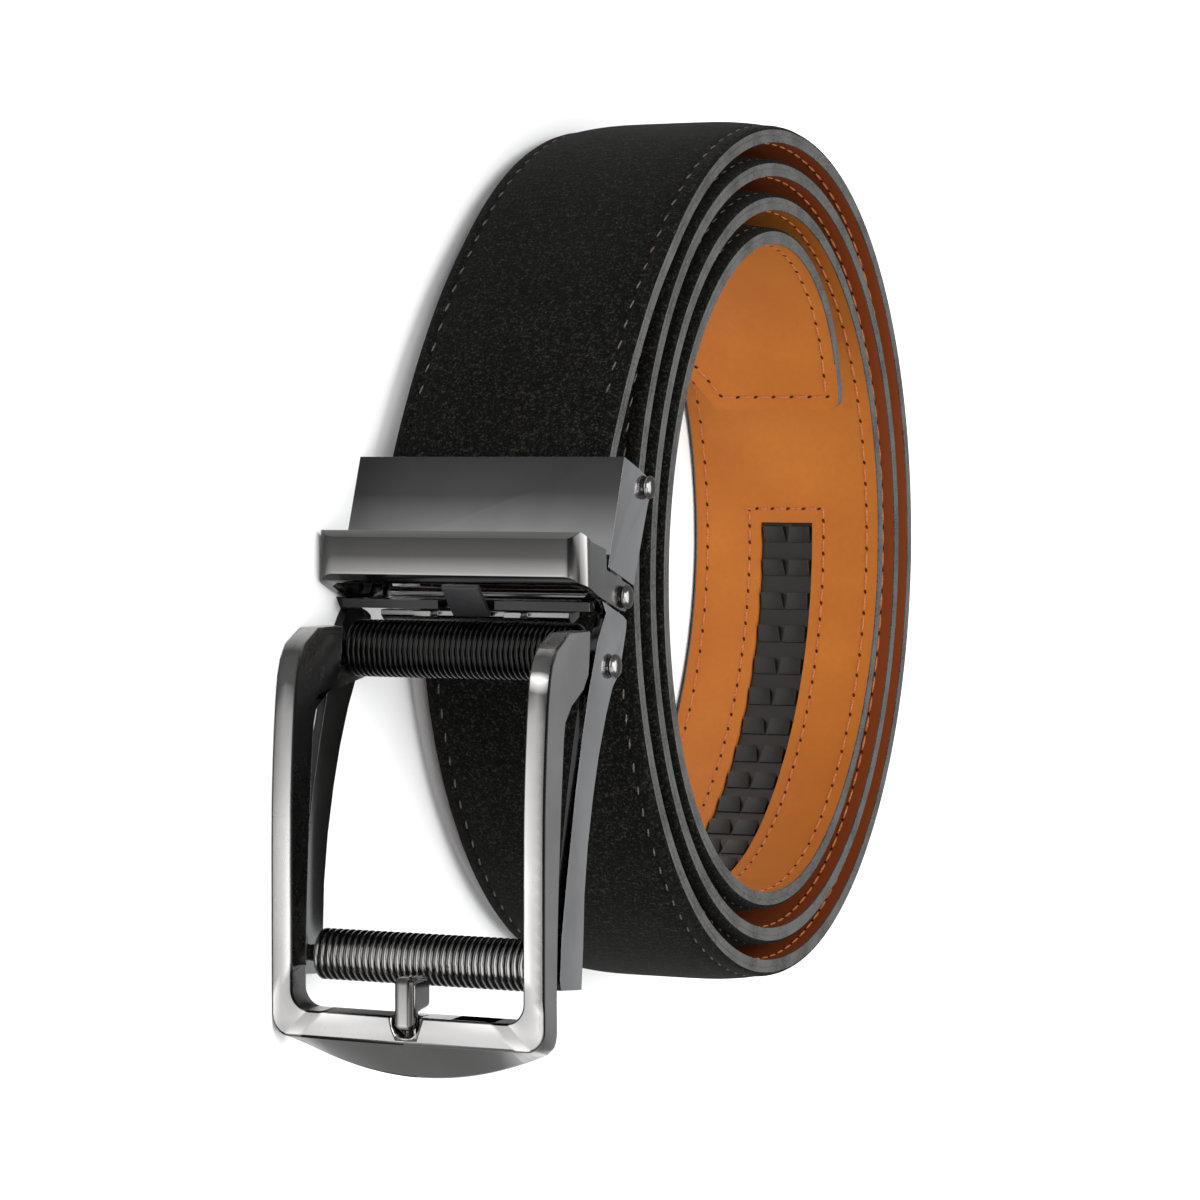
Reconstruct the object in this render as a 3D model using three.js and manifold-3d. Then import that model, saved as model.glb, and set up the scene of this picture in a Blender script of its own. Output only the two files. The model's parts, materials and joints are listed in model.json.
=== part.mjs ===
// Ratchet belt with an automatic pin-style buckle, coiled and lying on its side.
// Millimetres, +Z up. The strap's width runs along Z and the buckle hangs on the -Y side of the coil.

import * as THREE from "three";
import { mergeVertices } from "three/addons/utils/BufferGeometryUtils.js";
import Module from "manifold-3d";

const wasm = await Module();
wasm.setup();

// Clearance between pieces that touch
const GAP = 0.3;

// Strap: a crowned outer leather over a flat lining
const STRAP_WIDTH = 35;
const LINING_THICKNESS = 1.2;
const LEATHER_EDGE = 0.9;
const LEATHER_CROWN = 2.2;
const CROWN_FLAT = 21;
const STATION_STEP = 8.4;

// Tip of the strap: one corner cut off, the other one lightly rounded
const TIP_CUT_WIDTH = 12.5;
const TIP_CUT_LENGTH = 16;
const TIP_RADIUS = 1.8;

// Coil: radius of the lining in the outermost turn, and the air between turns
const COIL_RADIUS = 67.9;
const COIL_AIR = 1.8;
const POLAR_STEP = 1 / 48;

// Toothed track in the lining
const TRACK_START = 297.5;
const TRACK_LENGTH = 231;
const WINDOW_WIDTH = 9.8;
const TOOTH_PITCH = 6;
const TOOTH_FOOT = 3;
const TOOTH_PROUD = 0.5;
const TRACK_RECESS = 0.3;
const NOTCH_WIDTH = 1.2;

// Buckle: the clamp hinge lies this far from the coil, and outlines hang from it.
// "Down" is along +X and "out" is along -Y.
const STRAP_PLAY = 0.8;
const HINGE_DOWN = 4.3;
const HINGE_CLEARANCE = 14.8;
const BUCKLE_LENGTH = 67.2;
const SHEET = 1.3;
const PIN_RADIUS = 1.1;
const EAR_RADIUS = 2.2;
const HEAD_RADIUS = 1.75;
const HEAD_RISE = 1;

// Clamp: lean of its plate in degrees, and the jaw below its pin
const CLAMP_LEAN = 20.5;
const JAW_LENGTH = 8.4;

// Keeper loop
const KEEPER_WALL = 2;
const KEEPER_CORNER = 3;

// Ribbed bars
const UPPER_BAR_RADIUS = 4.2;
const LOWER_BAR_RADIUS = 3.7;
const SPINDLE_RADIUS = 1.2;
const RIB_PITCH = 0.9;
const RIB_DEPTH = 0.35;

// Front frame
const RAIL_WIDTH = 3.3;
const RAIL_CORNER = 2.6;
const CHIN_CORNER = 4.5;
const SLOT_DEPTH = 1.7;
const PRONG_WIDTH = 3.2;
const PRONG_PLAY = 0.6;

// Release tab and pawl
const NOTCH_LEFT = 4.2;
const NOTCH_RIGHT = 4.8;
const TAB_WIDTH = 5.8;
const PAWL_WIDTH = 30;
const FINGER_WIDTH = 2.7;
const FINGER_SPREAD = 14.3;

const STRAP_THICKNESS = LINING_THICKNESS + GAP + LEATHER_CROWN;
const LAYER_PITCH = STRAP_THICKNESS + COIL_AIR;
const HINGE_OUT = COIL_RADIUS + HINGE_CLEARANCE;
const BUCKLE_WIDTH = STRAP_WIDTH + 2 * (2 * SHEET + GAP + STRAP_PLAY);
const HALF_BUCKLE = BUCKLE_WIDTH / 2;
const HALF_STRAP = STRAP_WIDTH / 2;
const PERCENT = BUCKLE_LENGTH / 100;
const LEAN = THREE.MathUtils.degToRad(CLAMP_LEAN);

// How far each eighth of a turn lies inside the coil's radius, in layer pitches.
// Turn 0 faces the buckle, 0.25 is the end away from the hanging buckle, 0.5 the back.
const COIL_PATH = [
  { turn: 0.053, layersIn: -1.36 },
  { turn: 0.07, layersIn: -1.02 },
  { turn: 0.092, layersIn: -0.68 },
  { turn: 0.125, layersIn: -0.31 },
  { turn: 0.25, layersIn: 0.16 },
  { turn: 0.375, layersIn: 0.02 },
  { turn: 0.5, layersIn: 0.13 },
  { turn: 0.625, layersIn: 0.24 },
  { turn: 0.75, layersIn: 0.2 },
  { turn: 0.875, layersIn: 0.02 },
  { turn: 1, layersIn: 0.12 },
  { turn: 1.125, layersIn: 0.62 },
  { turn: 1.25, layersIn: 1.18 },
  { turn: 1.375, layersIn: 1.37 },
  { turn: 1.5, layersIn: 1.56 },
  { turn: 1.625, layersIn: 1.44 },
  { turn: 1.75, layersIn: 1.15 },
  { turn: 1.875, layersIn: 1.04 },
  { turn: 2, layersIn: 1.36 },
  { turn: 2.125, layersIn: 1.73 },
  { turn: 2.25, layersIn: 2.2 },
  { turn: 2.375, layersIn: 2.82 },
  { turn: 2.5, layersIn: 3.28 },
  { turn: 2.625, layersIn: 3.12 },
  { turn: 2.75, layersIn: 2.28 },
  { turn: 2.875, layersIn: 1.93 },
  { turn: 3, layersIn: 2.38 },
  { turn: 3.125, layersIn: 2.76 },
  { turn: 3.25, layersIn: 3.24 },
  { turn: 3.32, layersIn: 4.15 },
  { turn: 3.385, layersIn: 5.8 },
];

// Places on the buckle in hundredths of BUCKLE_LENGTH, down and out from the clamp hinge
const CLAMP_PIN = { down: -26.19, out: -3.42 };
const FRAME_PIN = { down: 14.43, out: 6.55 };
const UPPER_BAR = { down: 11.46, out: 11.46 };
const LOWER_BAR = { down: 76.04, out: 27.83 };
const STRAP_END = 7.44;
const WINDOW_BOTTOM = 86.16;
const FACE_BOTTOM = 92.26;
const SLOT_BOTTOM = 87.5;
const NOTCH_FLOOR = 8.33;

// Outlines in side view, in the same hundredths
// Clamp flange, in the clamp's leaning frame
const CLAMP_EDGE = [
  [-28.12, 10.27],
  [-28.57, 1.49],
  [-28.57, -1.93],
  [-28.12, -4.91],
  [-25.74, -6.25],
  [-23.21, -5.65],
  [-4.02, -4.17],
  [-3.27, 10.27],
];

// Keeper loop, from its front bar round the hinge and back
const KEEPER_EDGE = [
  [-14.29, 20.54],
  [-12.8, 22.02],
  [-4.91, 22.02],
  [-3.42, 20.54],
  [-0.3, 12.5],
  [2.83, 1.64],
  [3.12, -0.89],
  [1.79, -2.68],
  [-0.6, -3.27],
  [-2.38, -3.42],
  [-6.1, 9.23],
  [-10.42, 9.52],
  [-12.2, 17.26],
];

// Arm of the rear frame: front edge down to the end, then the back edge
const ARM_EDGE = [
  [0.45, 11.61],
  [3.12, 9.52],
  [5.06, 11.31],
  [8.63, 13.99],
  [13.69, 16.37],
  [19.79, 19.05],
  [29.02, 22.32],
  [39.58, 25.6],
  [49.85, 28.12],
  [59.52, 30.65],
  [69.64, 32.89],
  [77.83, 33.63],
  [80.06, 33.04],
  [81.25, 22.62],
  [72.17, 21.73],
  [61.76, 21.13],
  [51.34, 19.35],
  [41.22, 16.52],
  [32.89, 13.54],
  [24.4, 9.52],
  [18.9, 6.1],
  [15.92, 2.23],
  [10.12, 0],
  [6.85, -1.34],
  [5.06, -1.49],
  [4.02, 0.3],
];

// Front frame: top, front face, chin and back
const FRONT_EDGE = [
  [6.4, 17.56],
  [6.4, 27.98],
  [7.89, 32.14],
  [12.95, 38.1],
  [24.26, 40.03],
  [45.09, 41.67],
  [92.26, 41.67],
  [100, 34.82],
  [100, 33.33],
  [86.16, 34.82],
  [68.45, 34.52],
  [50.6, 33.33],
  [32.74, 31.7],
  [24.7, 30.51],
  [20.83, 25.15],
  [19.35, 22.47],
  [17.71, 19.35],
  [13.99, 18.3],
];

// Tongue that carries the front frame, from its pin to the rail
const TONGUE_EDGE = [
  [15.03, 6.55],
  [15.03, 13.99],
  [15.92, 23.66],
  [20.39, 23.66],
  [18.15, 6.55],
];

// Prong, from the lower bar over the frame's lower edge
const PRONG_EDGE = [
  [78.27, 33.78],
  [77.68, 40.92],
  [79.46, 43.01],
  [86.9, 43.01],
  [88.99, 41.67],
  [88.99, 39.58],
  [85.71, 39.58],
  [85.27, 33.78],
];

// Cross plate of the rear frame
const PLATE_EDGE = [
  [0.74, 4.46],
  [0.74, 13.1],
  [2.68, 13.1],
  [2.68, 4.46],
];

// Ear between the cross plate and the hinge
const EAR_EDGE = [
  [-2.68, 0],
  [0.74, 7.44],
  [2.68, 7.44],
  [2.68, 0],
];

// Pawl behind the cross plate
const PAWL_EDGE = [
  [3.12, 2.38],
  [3.12, 8.33],
  [4.46, 8.33],
  [5.95, 6.55],
  [4.46, 2.38],
];

// Fingers of the pawl
const FINGER_EDGE = [
  [3.12, 7.44],
  [3.12, 11.9],
  [4.46, 11.9],
  [4.46, 7.44],
];

// Release tab
const TAB_EDGE = [
  [-2.98, 14.88],
  [-1.93, 15.62],
  [4.32, 9.52],
  [4.32, 8.78],
  [3.27, 8.78],
];

const FINISHES = {
  suede: { color: 0x1c1a18, roughness: 0.95, metalness: 0 },
  lining: { color: 0xb8682b, roughness: 0.6, metalness: 0 },
  track: { color: 0x2b2a27, roughness: 0.55, metalness: 0 },
  gunmetal: { color: 0x56565a, roughness: 0.18, metalness: 1 },
  steel: { color: 0xb9b9bb, roughness: 0.25, metalness: 1 },
  tab: { color: 0x303032, roughness: 0.5, metalness: 0.6 },
};

// Smooth value between the rows of a table, by cubic steps with averaged slopes
function between(rows, key, value, x) {
  let i = 0;
  while (i < rows.length - 2 && rows[i + 1][key] < x) i += 1;
  const slope = (k) => {
    const a = rows[Math.max(k - 1, 0)];
    const b = rows[Math.min(k + 1, rows.length - 1)];
    return (b[value] - a[value]) / (b[key] - a[key]);
  };
  const [from, to] = [rows[i], rows[i + 1]];
  const span = to[key] - from[key];
  const t = (x - from[key]) / span;
  const t2 = t * t;
  const t3 = t2 * t;
  return (
    (2 * t3 - 3 * t2 + 1) * from[value] +
    (t3 - 2 * t2 + t) * span * slope(i) +
    (3 * t2 - 2 * t3) * to[value] +
    (t3 - t2) * span * slope(i + 1)
  );
}

// Point of the buckle in plan, from its distances below and outside the hinge
function plan(down, out) {
  return new THREE.Vector2(down, -out);
}

function toSolid(geometry) {
  const bare = geometry.index ? geometry.toNonIndexed() : geometry.clone();
  bare.deleteAttribute("normal");
  bare.deleteAttribute("uv");
  const merged = mergeVertices(bare, 1e-4);
  return new wasm.Manifold(
    new wasm.Mesh({
      numProp: 3,
      vertProperties: new Float32Array(merged.attributes.position.array),
      triVerts: new Uint32Array(merged.index.array),
    })
  );
}

function toGeometry(solid) {
  const mesh = solid.getMesh();
  const geometry = new THREE.BufferGeometry();
  geometry.setAttribute("position", new THREE.BufferAttribute(new Float32Array(mesh.vertProperties), 3));
  geometry.setIndex(new THREE.BufferAttribute(new Uint32Array(mesh.triVerts), 1));
  return geometry;
}

function join(...geometries) {
  return toGeometry(geometries.map(toSolid).reduce((a, b) => a.add(b)));
}

function cut(geometry, ...tools) {
  return toGeometry(tools.map(toSolid).reduce((a, b) => a.subtract(b), toSolid(geometry)));
}

function common(a, b) {
  return toGeometry(toSolid(a).intersect(toSolid(b)));
}

// Flat shape in plan, raised from one height to another
function raise(shape, low, high) {
  const options = { depth: high - low, bevelEnabled: false, curveSegments: 5 };
  return new THREE.ExtrudeGeometry(shape, options).translate(0, 0, low);
}

// The same shape raised on both sides of the middle height, between two distances from it
function raiseBoth(shape, near, far) {
  const upper = raise(shape, HALF_BUCKLE + near, HALF_BUCKLE + far);
  const lower = raise(shape, HALF_BUCKLE - far, HALF_BUCKLE - near);
  return [upper, lower];
}

// Front view shape (across, down) swept along "out"
function face(shape, outLow, outHigh) {
  const options = { depth: outHigh - outLow, bevelEnabled: false, curveSegments: 5 };
  const axes = new THREE.Matrix4().makeBasis(
    new THREE.Vector3(0, 0, 1),
    new THREE.Vector3(1, 0, 0),
    new THREE.Vector3(0, 1, 0)
  );
  return new THREE.ExtrudeGeometry(shape, options).applyMatrix4(axes).translate(0, -outHigh, HALF_BUCKLE);
}

// Hole for a pin, with clearance all round
function bore(down, out) {
  const sides = 14;
  const radius = (PIN_RADIUS + GAP) / Math.cos(Math.PI / sides);
  return peg(down, out, radius, -1, BUCKLE_WIDTH + 1, sides);
}

// Upright cylinder through the buckle's width
function peg(down, out, radius, low, high, sides = 14) {
  const geometry = new THREE.CylinderGeometry(radius, radius, high - low, sides);
  return geometry.rotateX(Math.PI / 2).translate(down, -out, (low + high) / 2);
}

function polygon(points) {
  return new THREE.Shape(points.map(([down, out]) => plan(down, out)));
}

// Shape from an outline in hundredths of the buckle's length
function outlined(rows) {
  return polygon(rows.map(([down, out]) => [down * PERCENT, out * PERCENT]));
}

// Place in millimetres from one in hundredths of the buckle's length
function placed({ down, out }) {
  return { down: down * PERCENT, out: out * PERCENT };
}

function farthest(rows, axis) {
  return Math.max(...rows.map((row) => row[axis])) * PERCENT;
}

function nearest(rows, axis) {
  return Math.min(...rows.map((row) => row[axis])) * PERCENT;
}

function disc(down, out, radius) {
  const shape = new THREE.Shape();
  shape.absarc(down, -out, radius, 0, 2 * Math.PI);
  return shape;
}

// Point of the leaning clamp, from its distance above the hinge and in front of it
function clampPoint(above, front) {
  return {
    down: HINGE_DOWN - above * Math.cos(LEAN) - front * Math.sin(LEAN),
    out: HINGE_OUT - above * Math.sin(LEAN) + front * Math.cos(LEAN),
  };
}

// How far in front of the hinge the clamped strap's lining lies
function clampLining() {
  return farthest(CLAMP_EDGE, 1) - SHEET - 1.3 * GAP - STRAP_THICKNESS;
}

// Lining side of the strap, from the clamp round the coil to the tip
function strapCurve() {
  const end = STRAP_END * PERCENT;
  const top = GAP - CLAMP_EDGE[0][0] * PERCENT;
  const points = [0, 0.35, 0.7, 1].map((share) => {
    const { down, out } = clampPoint(end + share * (top - end), clampLining());
    return new THREE.Vector3(down, -out, 0);
  });
  const first = COIL_PATH[0].turn;
  const last = COIL_PATH[COIL_PATH.length - 1].turn;
  const count = Math.round((last - first) / POLAR_STEP);
  for (let i = 0; i <= count; i += 1) {
    const turn = first + ((last - first) * i) / count;
    const radius = COIL_RADIUS - LAYER_PITCH * between(COIL_PATH, "turn", "layersIn", turn);
    const angle = 2 * Math.PI * turn;
    points.push(new THREE.Vector3(-radius * Math.sin(angle), -radius * Math.cos(angle), 0));
  }
  const curve = new THREE.CatmullRomCurve3(points, false, "centripetal");
  curve.arcLengthDivisions = 20 * points.length;
  return curve;
}

const STRAP_CURVE = strapCurve();
const STRAP_LENGTH = STRAP_CURVE.getLength();

// The buckle is wider than the strap, so the strap rises from the floor towards the clamp
function strapHeight(y) {
  const back = COIL_RADIUS + STRAP_THICKNESS;
  const share = THREE.MathUtils.clamp((back - y) / (back + HINGE_OUT), 0, 1);
  return HALF_STRAP + share * (HALF_BUCKLE - HALF_STRAP);
}

// Place and outward direction of the strap at a distance along its lining
function onCurve(distance) {
  const u = THREE.MathUtils.clamp(distance / STRAP_LENGTH, 0, 1);
  const point = STRAP_CURVE.getPointAt(u);
  const tangent = STRAP_CURVE.getTangentAt(u);
  const outward = new THREE.Vector3(-tangent.y, tangent.x, 0).normalize();
  return { point: point.setZ(strapHeight(point.y)), outward };
}

const CHORDS = Math.round(STRAP_LENGTH / STATION_STEP);
const CHORD_ENDS = Array.from({ length: CHORDS + 1 }, (_, i) => onCurve((STRAP_LENGTH * i) / CHORDS));

// The same on the straight chords that every layer of the strap shares
function station(distance) {
  const at = THREE.MathUtils.clamp((distance / STRAP_LENGTH) * CHORDS, 0, CHORDS);
  const i = Math.min(Math.floor(at), CHORDS - 1);
  return {
    distance,
    point: CHORD_ENDS[i].point.clone().lerp(CHORD_ENDS[i + 1].point, at - i),
    outward: CHORD_ENDS[i].outward.clone().lerp(CHORD_ENDS[i + 1].outward, at - i),
  };
}

// Stations between two distances: both ends, every chord end between them and any extra ones
function stationsBetween(start, end, extra = []) {
  const chordEnds = CHORD_ENDS.map((_, i) => (STRAP_LENGTH * i) / CHORDS);
  const inner = [...chordEnds, ...extra].filter((d) => d > start + 0.05 && d < end - 0.05);
  return [start, ...inner.sort((a, b) => a - b), end].map(station);
}

// Closed body through one section per station; a section lists [across, height above the lining side]
function loft(stations, section) {
  const rings = stations.map((s) =>
    section(s).map(([across, height]) => {
      const p = s.point.clone().addScaledVector(s.outward, height);
      return [p.x, p.y, p.z + across];
    })
  );
  const count = rings[0].length;
  const index = [];
  const quad = (a, b, c, d) => index.push(a, c, b, a, d, c);
  for (let i = 0; i + 1 < rings.length; i += 1) {
    for (let j = 0; j < count; j += 1) {
      const k = (j + 1) % count;
      quad(i * count + j, i * count + k, (i + 1) * count + k, (i + 1) * count + j);
    }
  }
  const cap = (ring) => {
    const flat = section(stations[ring]).map(([across, height]) => new THREE.Vector2(across, height));
    return THREE.ShapeUtils.triangulateShape(flat, []).map((t) => t.map((v) => v + ring * count));
  };
  cap(0).forEach(([a, b, c]) => index.push(a, b, c));
  cap(rings.length - 1).forEach(([a, b, c]) => index.push(a, c, b));
  const geometry = new THREE.BufferGeometry();
  geometry.setAttribute("position", new THREE.Float32BufferAttribute(rings.flat(2), 3));
  geometry.setIndex(index);
  return geometry;
}

// How much the tip takes off each side of the strap
function tipCuts(distance) {
  const back = STRAP_LENGTH - distance;
  const low = back < TIP_CUT_LENGTH ? TIP_CUT_WIDTH * (1 - back / TIP_CUT_LENGTH) : 0;
  const high = back < TIP_RADIUS ? TIP_RADIUS - Math.sqrt(TIP_RADIUS ** 2 - (TIP_RADIUS - back) ** 2) : 0;
  return { low, high };
}

function leatherSection(s) {
  const { low, high } = tipCuts(s.distance);
  const [left, right] = [-HALF_STRAP + low, HALF_STRAP - high];
  const base = LINING_THICKNESS + GAP;
  const flat = CROWN_FLAT / 2;
  return [
    [left, base],
    [right, base],
    [right, base + LEATHER_EDGE],
    [Math.min(flat, right - GAP), base + LEATHER_CROWN],
    [Math.max(-flat, left + GAP), base + LEATHER_CROWN],
    [left, base + LEATHER_EDGE],
  ];
}

function liningSection(s) {
  const { low, high } = tipCuts(s.distance);
  const [left, right] = [-HALF_STRAP + low, HALF_STRAP - high];
  return [
    [left, 0],
    [right, 0],
    [right, LINING_THICKNESS],
    [left, LINING_THICKNESS],
  ];
}

function strapStations() {
  const cut = [1, 0.7, 0.4].map((share) => STRAP_LENGTH - share * TIP_CUT_LENGTH);
  const corner = [1, 0.5, 0.2, 0.05].map((share) => STRAP_LENGTH - share * TIP_RADIUS);
  return stationsBetween(0, STRAP_LENGTH, [...cut, ...corner]);
}

function windowGeometry() {
  const start = STRAP_LENGTH - TRACK_START;
  const half = WINDOW_WIDTH / 2;
  return loft(stationsBetween(start, start + TRACK_LENGTH), () => [
    [-half, -1],
    [half, -1],
    [half, LINING_THICKNESS + GAP / 2],
    [-half, LINING_THICKNESS + GAP / 2],
  ]);
}

// Toothed track: each tooth is a pair of blocks that step up sharply and slope back down
function trackGeometry() {
  const start = STRAP_LENGTH - TRACK_START + GAP;
  const end = start + TRACK_LENGTH - 2 * GAP;
  const half = WINDOW_WIDTH / 2 - GAP;
  const low = { top: TRACK_RECESS, notch: 0.2 * NOTCH_WIDTH };
  const high = { top: -TOOTH_PROUD, notch: NOTCH_WIDTH };
  const marks = [{ at: start, ...low }];
  for (let at = start + GAP; at + TOOTH_PITCH < end; at += TOOTH_PITCH) {
    marks.push({ at, ...low }, { at: at + 0.1, ...high }, { at: at + TOOTH_FOOT, ...low });
  }
  marks.push({ at: end, ...low });
  const rows = marks.map((mark) => ({ ...station(mark.at), ...mark }));
  return loft(rows, ({ top, notch }) => [
    [-half, top],
    [-notch / 2, top],
    [0, TRACK_RECESS],
    [notch / 2, top],
    [half, top],
    [half, LINING_THICKNESS],
    [-half, LINING_THICKNESS],
  ]);
}

// Clamp channel in its leaning frame: front plate, two flanges and two ears on the hinge pin
function clampGeometry() {
  const front = farthest(CLAMP_EDGE, 1);
  const top = CLAMP_EDGE[0][0] * PERCENT;
  const bottom = farthest(CLAMP_EDGE, 0);
  const plate = polygon([
    [top, front],
    [top, front - SHEET],
    [bottom, front - SHEET],
    [bottom, front],
  ]);
  const strip = (from, to) =>
    polygon([
      [from, EAR_RADIUS],
      [from, -EAR_RADIUS],
      [to, -EAR_RADIUS],
      [to, EAR_RADIUS],
    ]);
  const earTop = bottom - 3 * EAR_RADIUS;
  const earNear = HALF_BUCKLE - 2 * SHEET - GAP;
  const earFar = HALF_BUCKLE - SHEET - GAP;
  const body = join(
    raise(plate, 0, BUCKLE_WIDTH),
    ...raiseBoth(outlined(CLAMP_EDGE), HALF_BUCKLE - SHEET, HALF_BUCKLE),
    ...raiseBoth(strip(earTop, 0), earNear, earFar),
    ...raiseBoth(disc(0, 0, EAR_RADIUS), earNear, earFar),
    ...raiseBoth(strip(earTop, bottom - SHEET), earNear, HALF_BUCKLE - SHEET / 2)
  );
  return cut(body, bore(0, 0), bore(CLAMP_PIN.down * PERCENT, CLAMP_PIN.out * PERCENT));
}

// Jaw plate behind the strap, with a barrel on the clamp's upper pin
function jawGeometry() {
  const { down, out } = placed(CLAMP_PIN);
  const front = clampLining() - 1.7 * GAP;
  const barrel = PIN_RADIUS + GAP + 0.7 * SHEET;
  const [low, high] = [SHEET + GAP, BUCKLE_WIDTH - SHEET - GAP];
  const plate = polygon([
    [down, front],
    [down, front - SHEET],
    [down + JAW_LENGTH, front - SHEET],
    [down + JAW_LENGTH, front],
  ]);
  const web = polygon([
    [down - SHEET, front],
    [down - SHEET, out],
    [down + barrel, out],
    [down + barrel, front],
  ]);
  const body = join(raise(plate, low, high), raise(web, low, high), peg(down, out, barrel, low, high));
  return cut(body, bore(down, out));
}

// Pin with a domed head on the upper side; its lower end is flush
function pinGeometry(down, out, low, high) {
  const steps = 4;
  const dome = Array.from({ length: steps }, (_, i) => {
    const angle = (Math.PI / 2) * (i / steps);
    return new THREE.Vector2(HEAD_RADIUS * Math.cos(angle), high + GAP + HEAD_RISE * Math.sin(angle));
  });
  const profile = [
    new THREE.Vector2(0, low),
    new THREE.Vector2(PIN_RADIUS, low),
    new THREE.Vector2(PIN_RADIUS, high + GAP),
    ...dome,
    new THREE.Vector2(0, high + GAP + HEAD_RISE),
  ];
  return new THREE.LatheGeometry(profile, 14).rotateX(Math.PI / 2).translate(down, -out, 0);
}

// Keeper loop: side outline crossed with a U that opens towards the coil
function keeperGeometry() {
  const front = -farthest(KEEPER_EDGE, 1);
  const back = -nearest(KEEPER_EDGE, 1) + SHEET;
  const [top, bottom] = [nearest(KEEPER_EDGE, 0) - SHEET, farthest(KEEPER_EDGE, 0) + SHEET];
  const inner = HALF_BUCKLE - SHEET;
  const bevel = KEEPER_CORNER / 2;
  const ring = new THREE.Shape();
  ring.moveTo(-HALF_BUCKLE, back);
  ring.absarc(-HALF_BUCKLE + KEEPER_CORNER, front + KEEPER_CORNER, KEEPER_CORNER, Math.PI, 1.5 * Math.PI);
  ring.absarc(HALF_BUCKLE - KEEPER_CORNER, front + KEEPER_CORNER, KEEPER_CORNER, 1.5 * Math.PI, 2 * Math.PI);
  ring.lineTo(HALF_BUCKLE, back);
  ring.lineTo(inner, back);
  ring.lineTo(inner, front + KEEPER_WALL + bevel);
  ring.lineTo(inner - bevel, front + KEEPER_WALL);
  ring.lineTo(-inner + bevel, front + KEEPER_WALL);
  ring.lineTo(-inner, front + KEEPER_WALL + bevel);
  ring.lineTo(-inner, back);
  const depth = bottom - top;
  const loop = new THREE.ExtrudeGeometry(ring, { depth, bevelEnabled: false, curveSegments: 4 });
  loop.rotateY(-Math.PI / 2).translate(bottom, 0, HALF_BUCKLE);
  return cut(common(raise(outlined(KEEPER_EDGE), 0, BUCKLE_WIDTH), loop), bore(0, 0));
}

// Rear frame: two arms joined by a notched cross plate, with inner ears on the clamp hinge
function rearFrameGeometry() {
  const arm = outlined(ARM_EDGE);
  const plate = outlined(PLATE_EDGE);
  const inside = SHEET + GAP;
  const earFar = HALF_BUCKLE - 2 * SHEET - 2 * GAP;
  const earNear = earFar - SHEET;
  const lip = farthest(PLATE_EDGE, 1);
  const reach = farthest(PLATE_EDGE, 0) + SHEET;
  const notch = new THREE.Shape();
  notch.moveTo(-NOTCH_LEFT, -reach);
  notch.lineTo(NOTCH_RIGHT, -reach);
  notch.lineTo(NOTCH_RIGHT, reach);
  notch.lineTo(-NOTCH_LEFT, reach);
  const { down, out } = placed(FRAME_PIN);
  const body = join(
    ...raiseBoth(arm, HALF_BUCKLE - SHEET, HALF_BUCKLE),
    raise(plate, inside, BUCKLE_WIDTH - inside),
    common(raise(plate, SHEET / 2, BUCKLE_WIDTH - SHEET / 2), raise(arm, 0, BUCKLE_WIDTH)),
    ...raiseBoth(disc(0, 0, EAR_RADIUS), earNear, earFar),
    ...raiseBoth(outlined(EAR_EDGE), earNear, earFar)
  );
  return cut(
    body,
    face(notch, NOTCH_FLOOR * PERCENT, lip + SHEET),
    bore(0, 0),
    bore(down, out),
    ...raiseBoth(disc(0, 0, EAR_RADIUS + GAP), earFar, HALF_BUCKLE + GAP)
  );
}

// Ribbed bar across the frame, with a spindle at each end
function ribbedBarGeometry({ down, out }, radius) {
  const clear = HALF_BUCKLE - 2 * SHEET - 3 * GAP;
  const seat = HALF_BUCKLE - SHEET - GAP;
  const count = Math.round((2 * clear) / RIB_PITCH);
  const pitch = (2 * clear) / count;
  const ribs = Array.from({ length: count }, (_, i) => [
    [radius - RIB_DEPTH, i * pitch - clear],
    [radius, (i + 0.5) * pitch - clear],
  ]);
  const profile = [
    [0, -seat],
    [SPINDLE_RADIUS, -seat],
    [SPINDLE_RADIUS, -clear],
    ...ribs.flat(),
    [radius - RIB_DEPTH, clear],
    [SPINDLE_RADIUS, clear],
    [SPINDLE_RADIUS, seat],
    [0, seat],
  ];
  const geometry = new THREE.LatheGeometry(profile.map(([r, z]) => new THREE.Vector2(r, z)), 10);
  return geometry.rotateX(Math.PI / 2).translate(down * PERCENT, -out * PERCENT, HALF_BUCKLE);
}

// Front view of the frame: a U with a bowed chin, open at the top
function frontOutline() {
  const half = HALF_BUCKLE;
  const top = nearest(FRONT_EDGE, 0) - SHEET;
  const chin = farthest(FRONT_EDGE, 0);
  const faceEnd = FACE_BOTTOM * PERCENT;
  const windowEnd = WINDOW_BOTTOM * PERCENT;
  const bow = chin - faceEnd + SHEET / 2;
  const radius = (half * half + bow * bow) / (2 * bow);
  const spread = Math.asin((half - CHIN_CORNER / 4) / radius);
  const inner = half - RAIL_WIDTH;
  const outline = new THREE.Shape();
  outline.moveTo(half, top);
  outline.lineTo(half, faceEnd - CHIN_CORNER);
  outline.lineTo(half - CHIN_CORNER / 11, faceEnd - CHIN_CORNER / 3);
  outline.absarc(0, chin - radius, radius, Math.PI / 2 - spread, Math.PI / 2 + spread);
  outline.lineTo(-half + CHIN_CORNER / 11, faceEnd - CHIN_CORNER / 3);
  outline.lineTo(-half, faceEnd - CHIN_CORNER);
  outline.lineTo(-half, top);
  outline.lineTo(-inner, top);
  outline.absarc(-inner + RAIL_CORNER, windowEnd - RAIL_CORNER, RAIL_CORNER, Math.PI, Math.PI / 2, true);
  outline.absarc(inner - RAIL_CORNER, windowEnd - RAIL_CORNER, RAIL_CORNER, Math.PI / 2, 0, true);
  outline.lineTo(inner, top);
  return outline;
}

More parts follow.
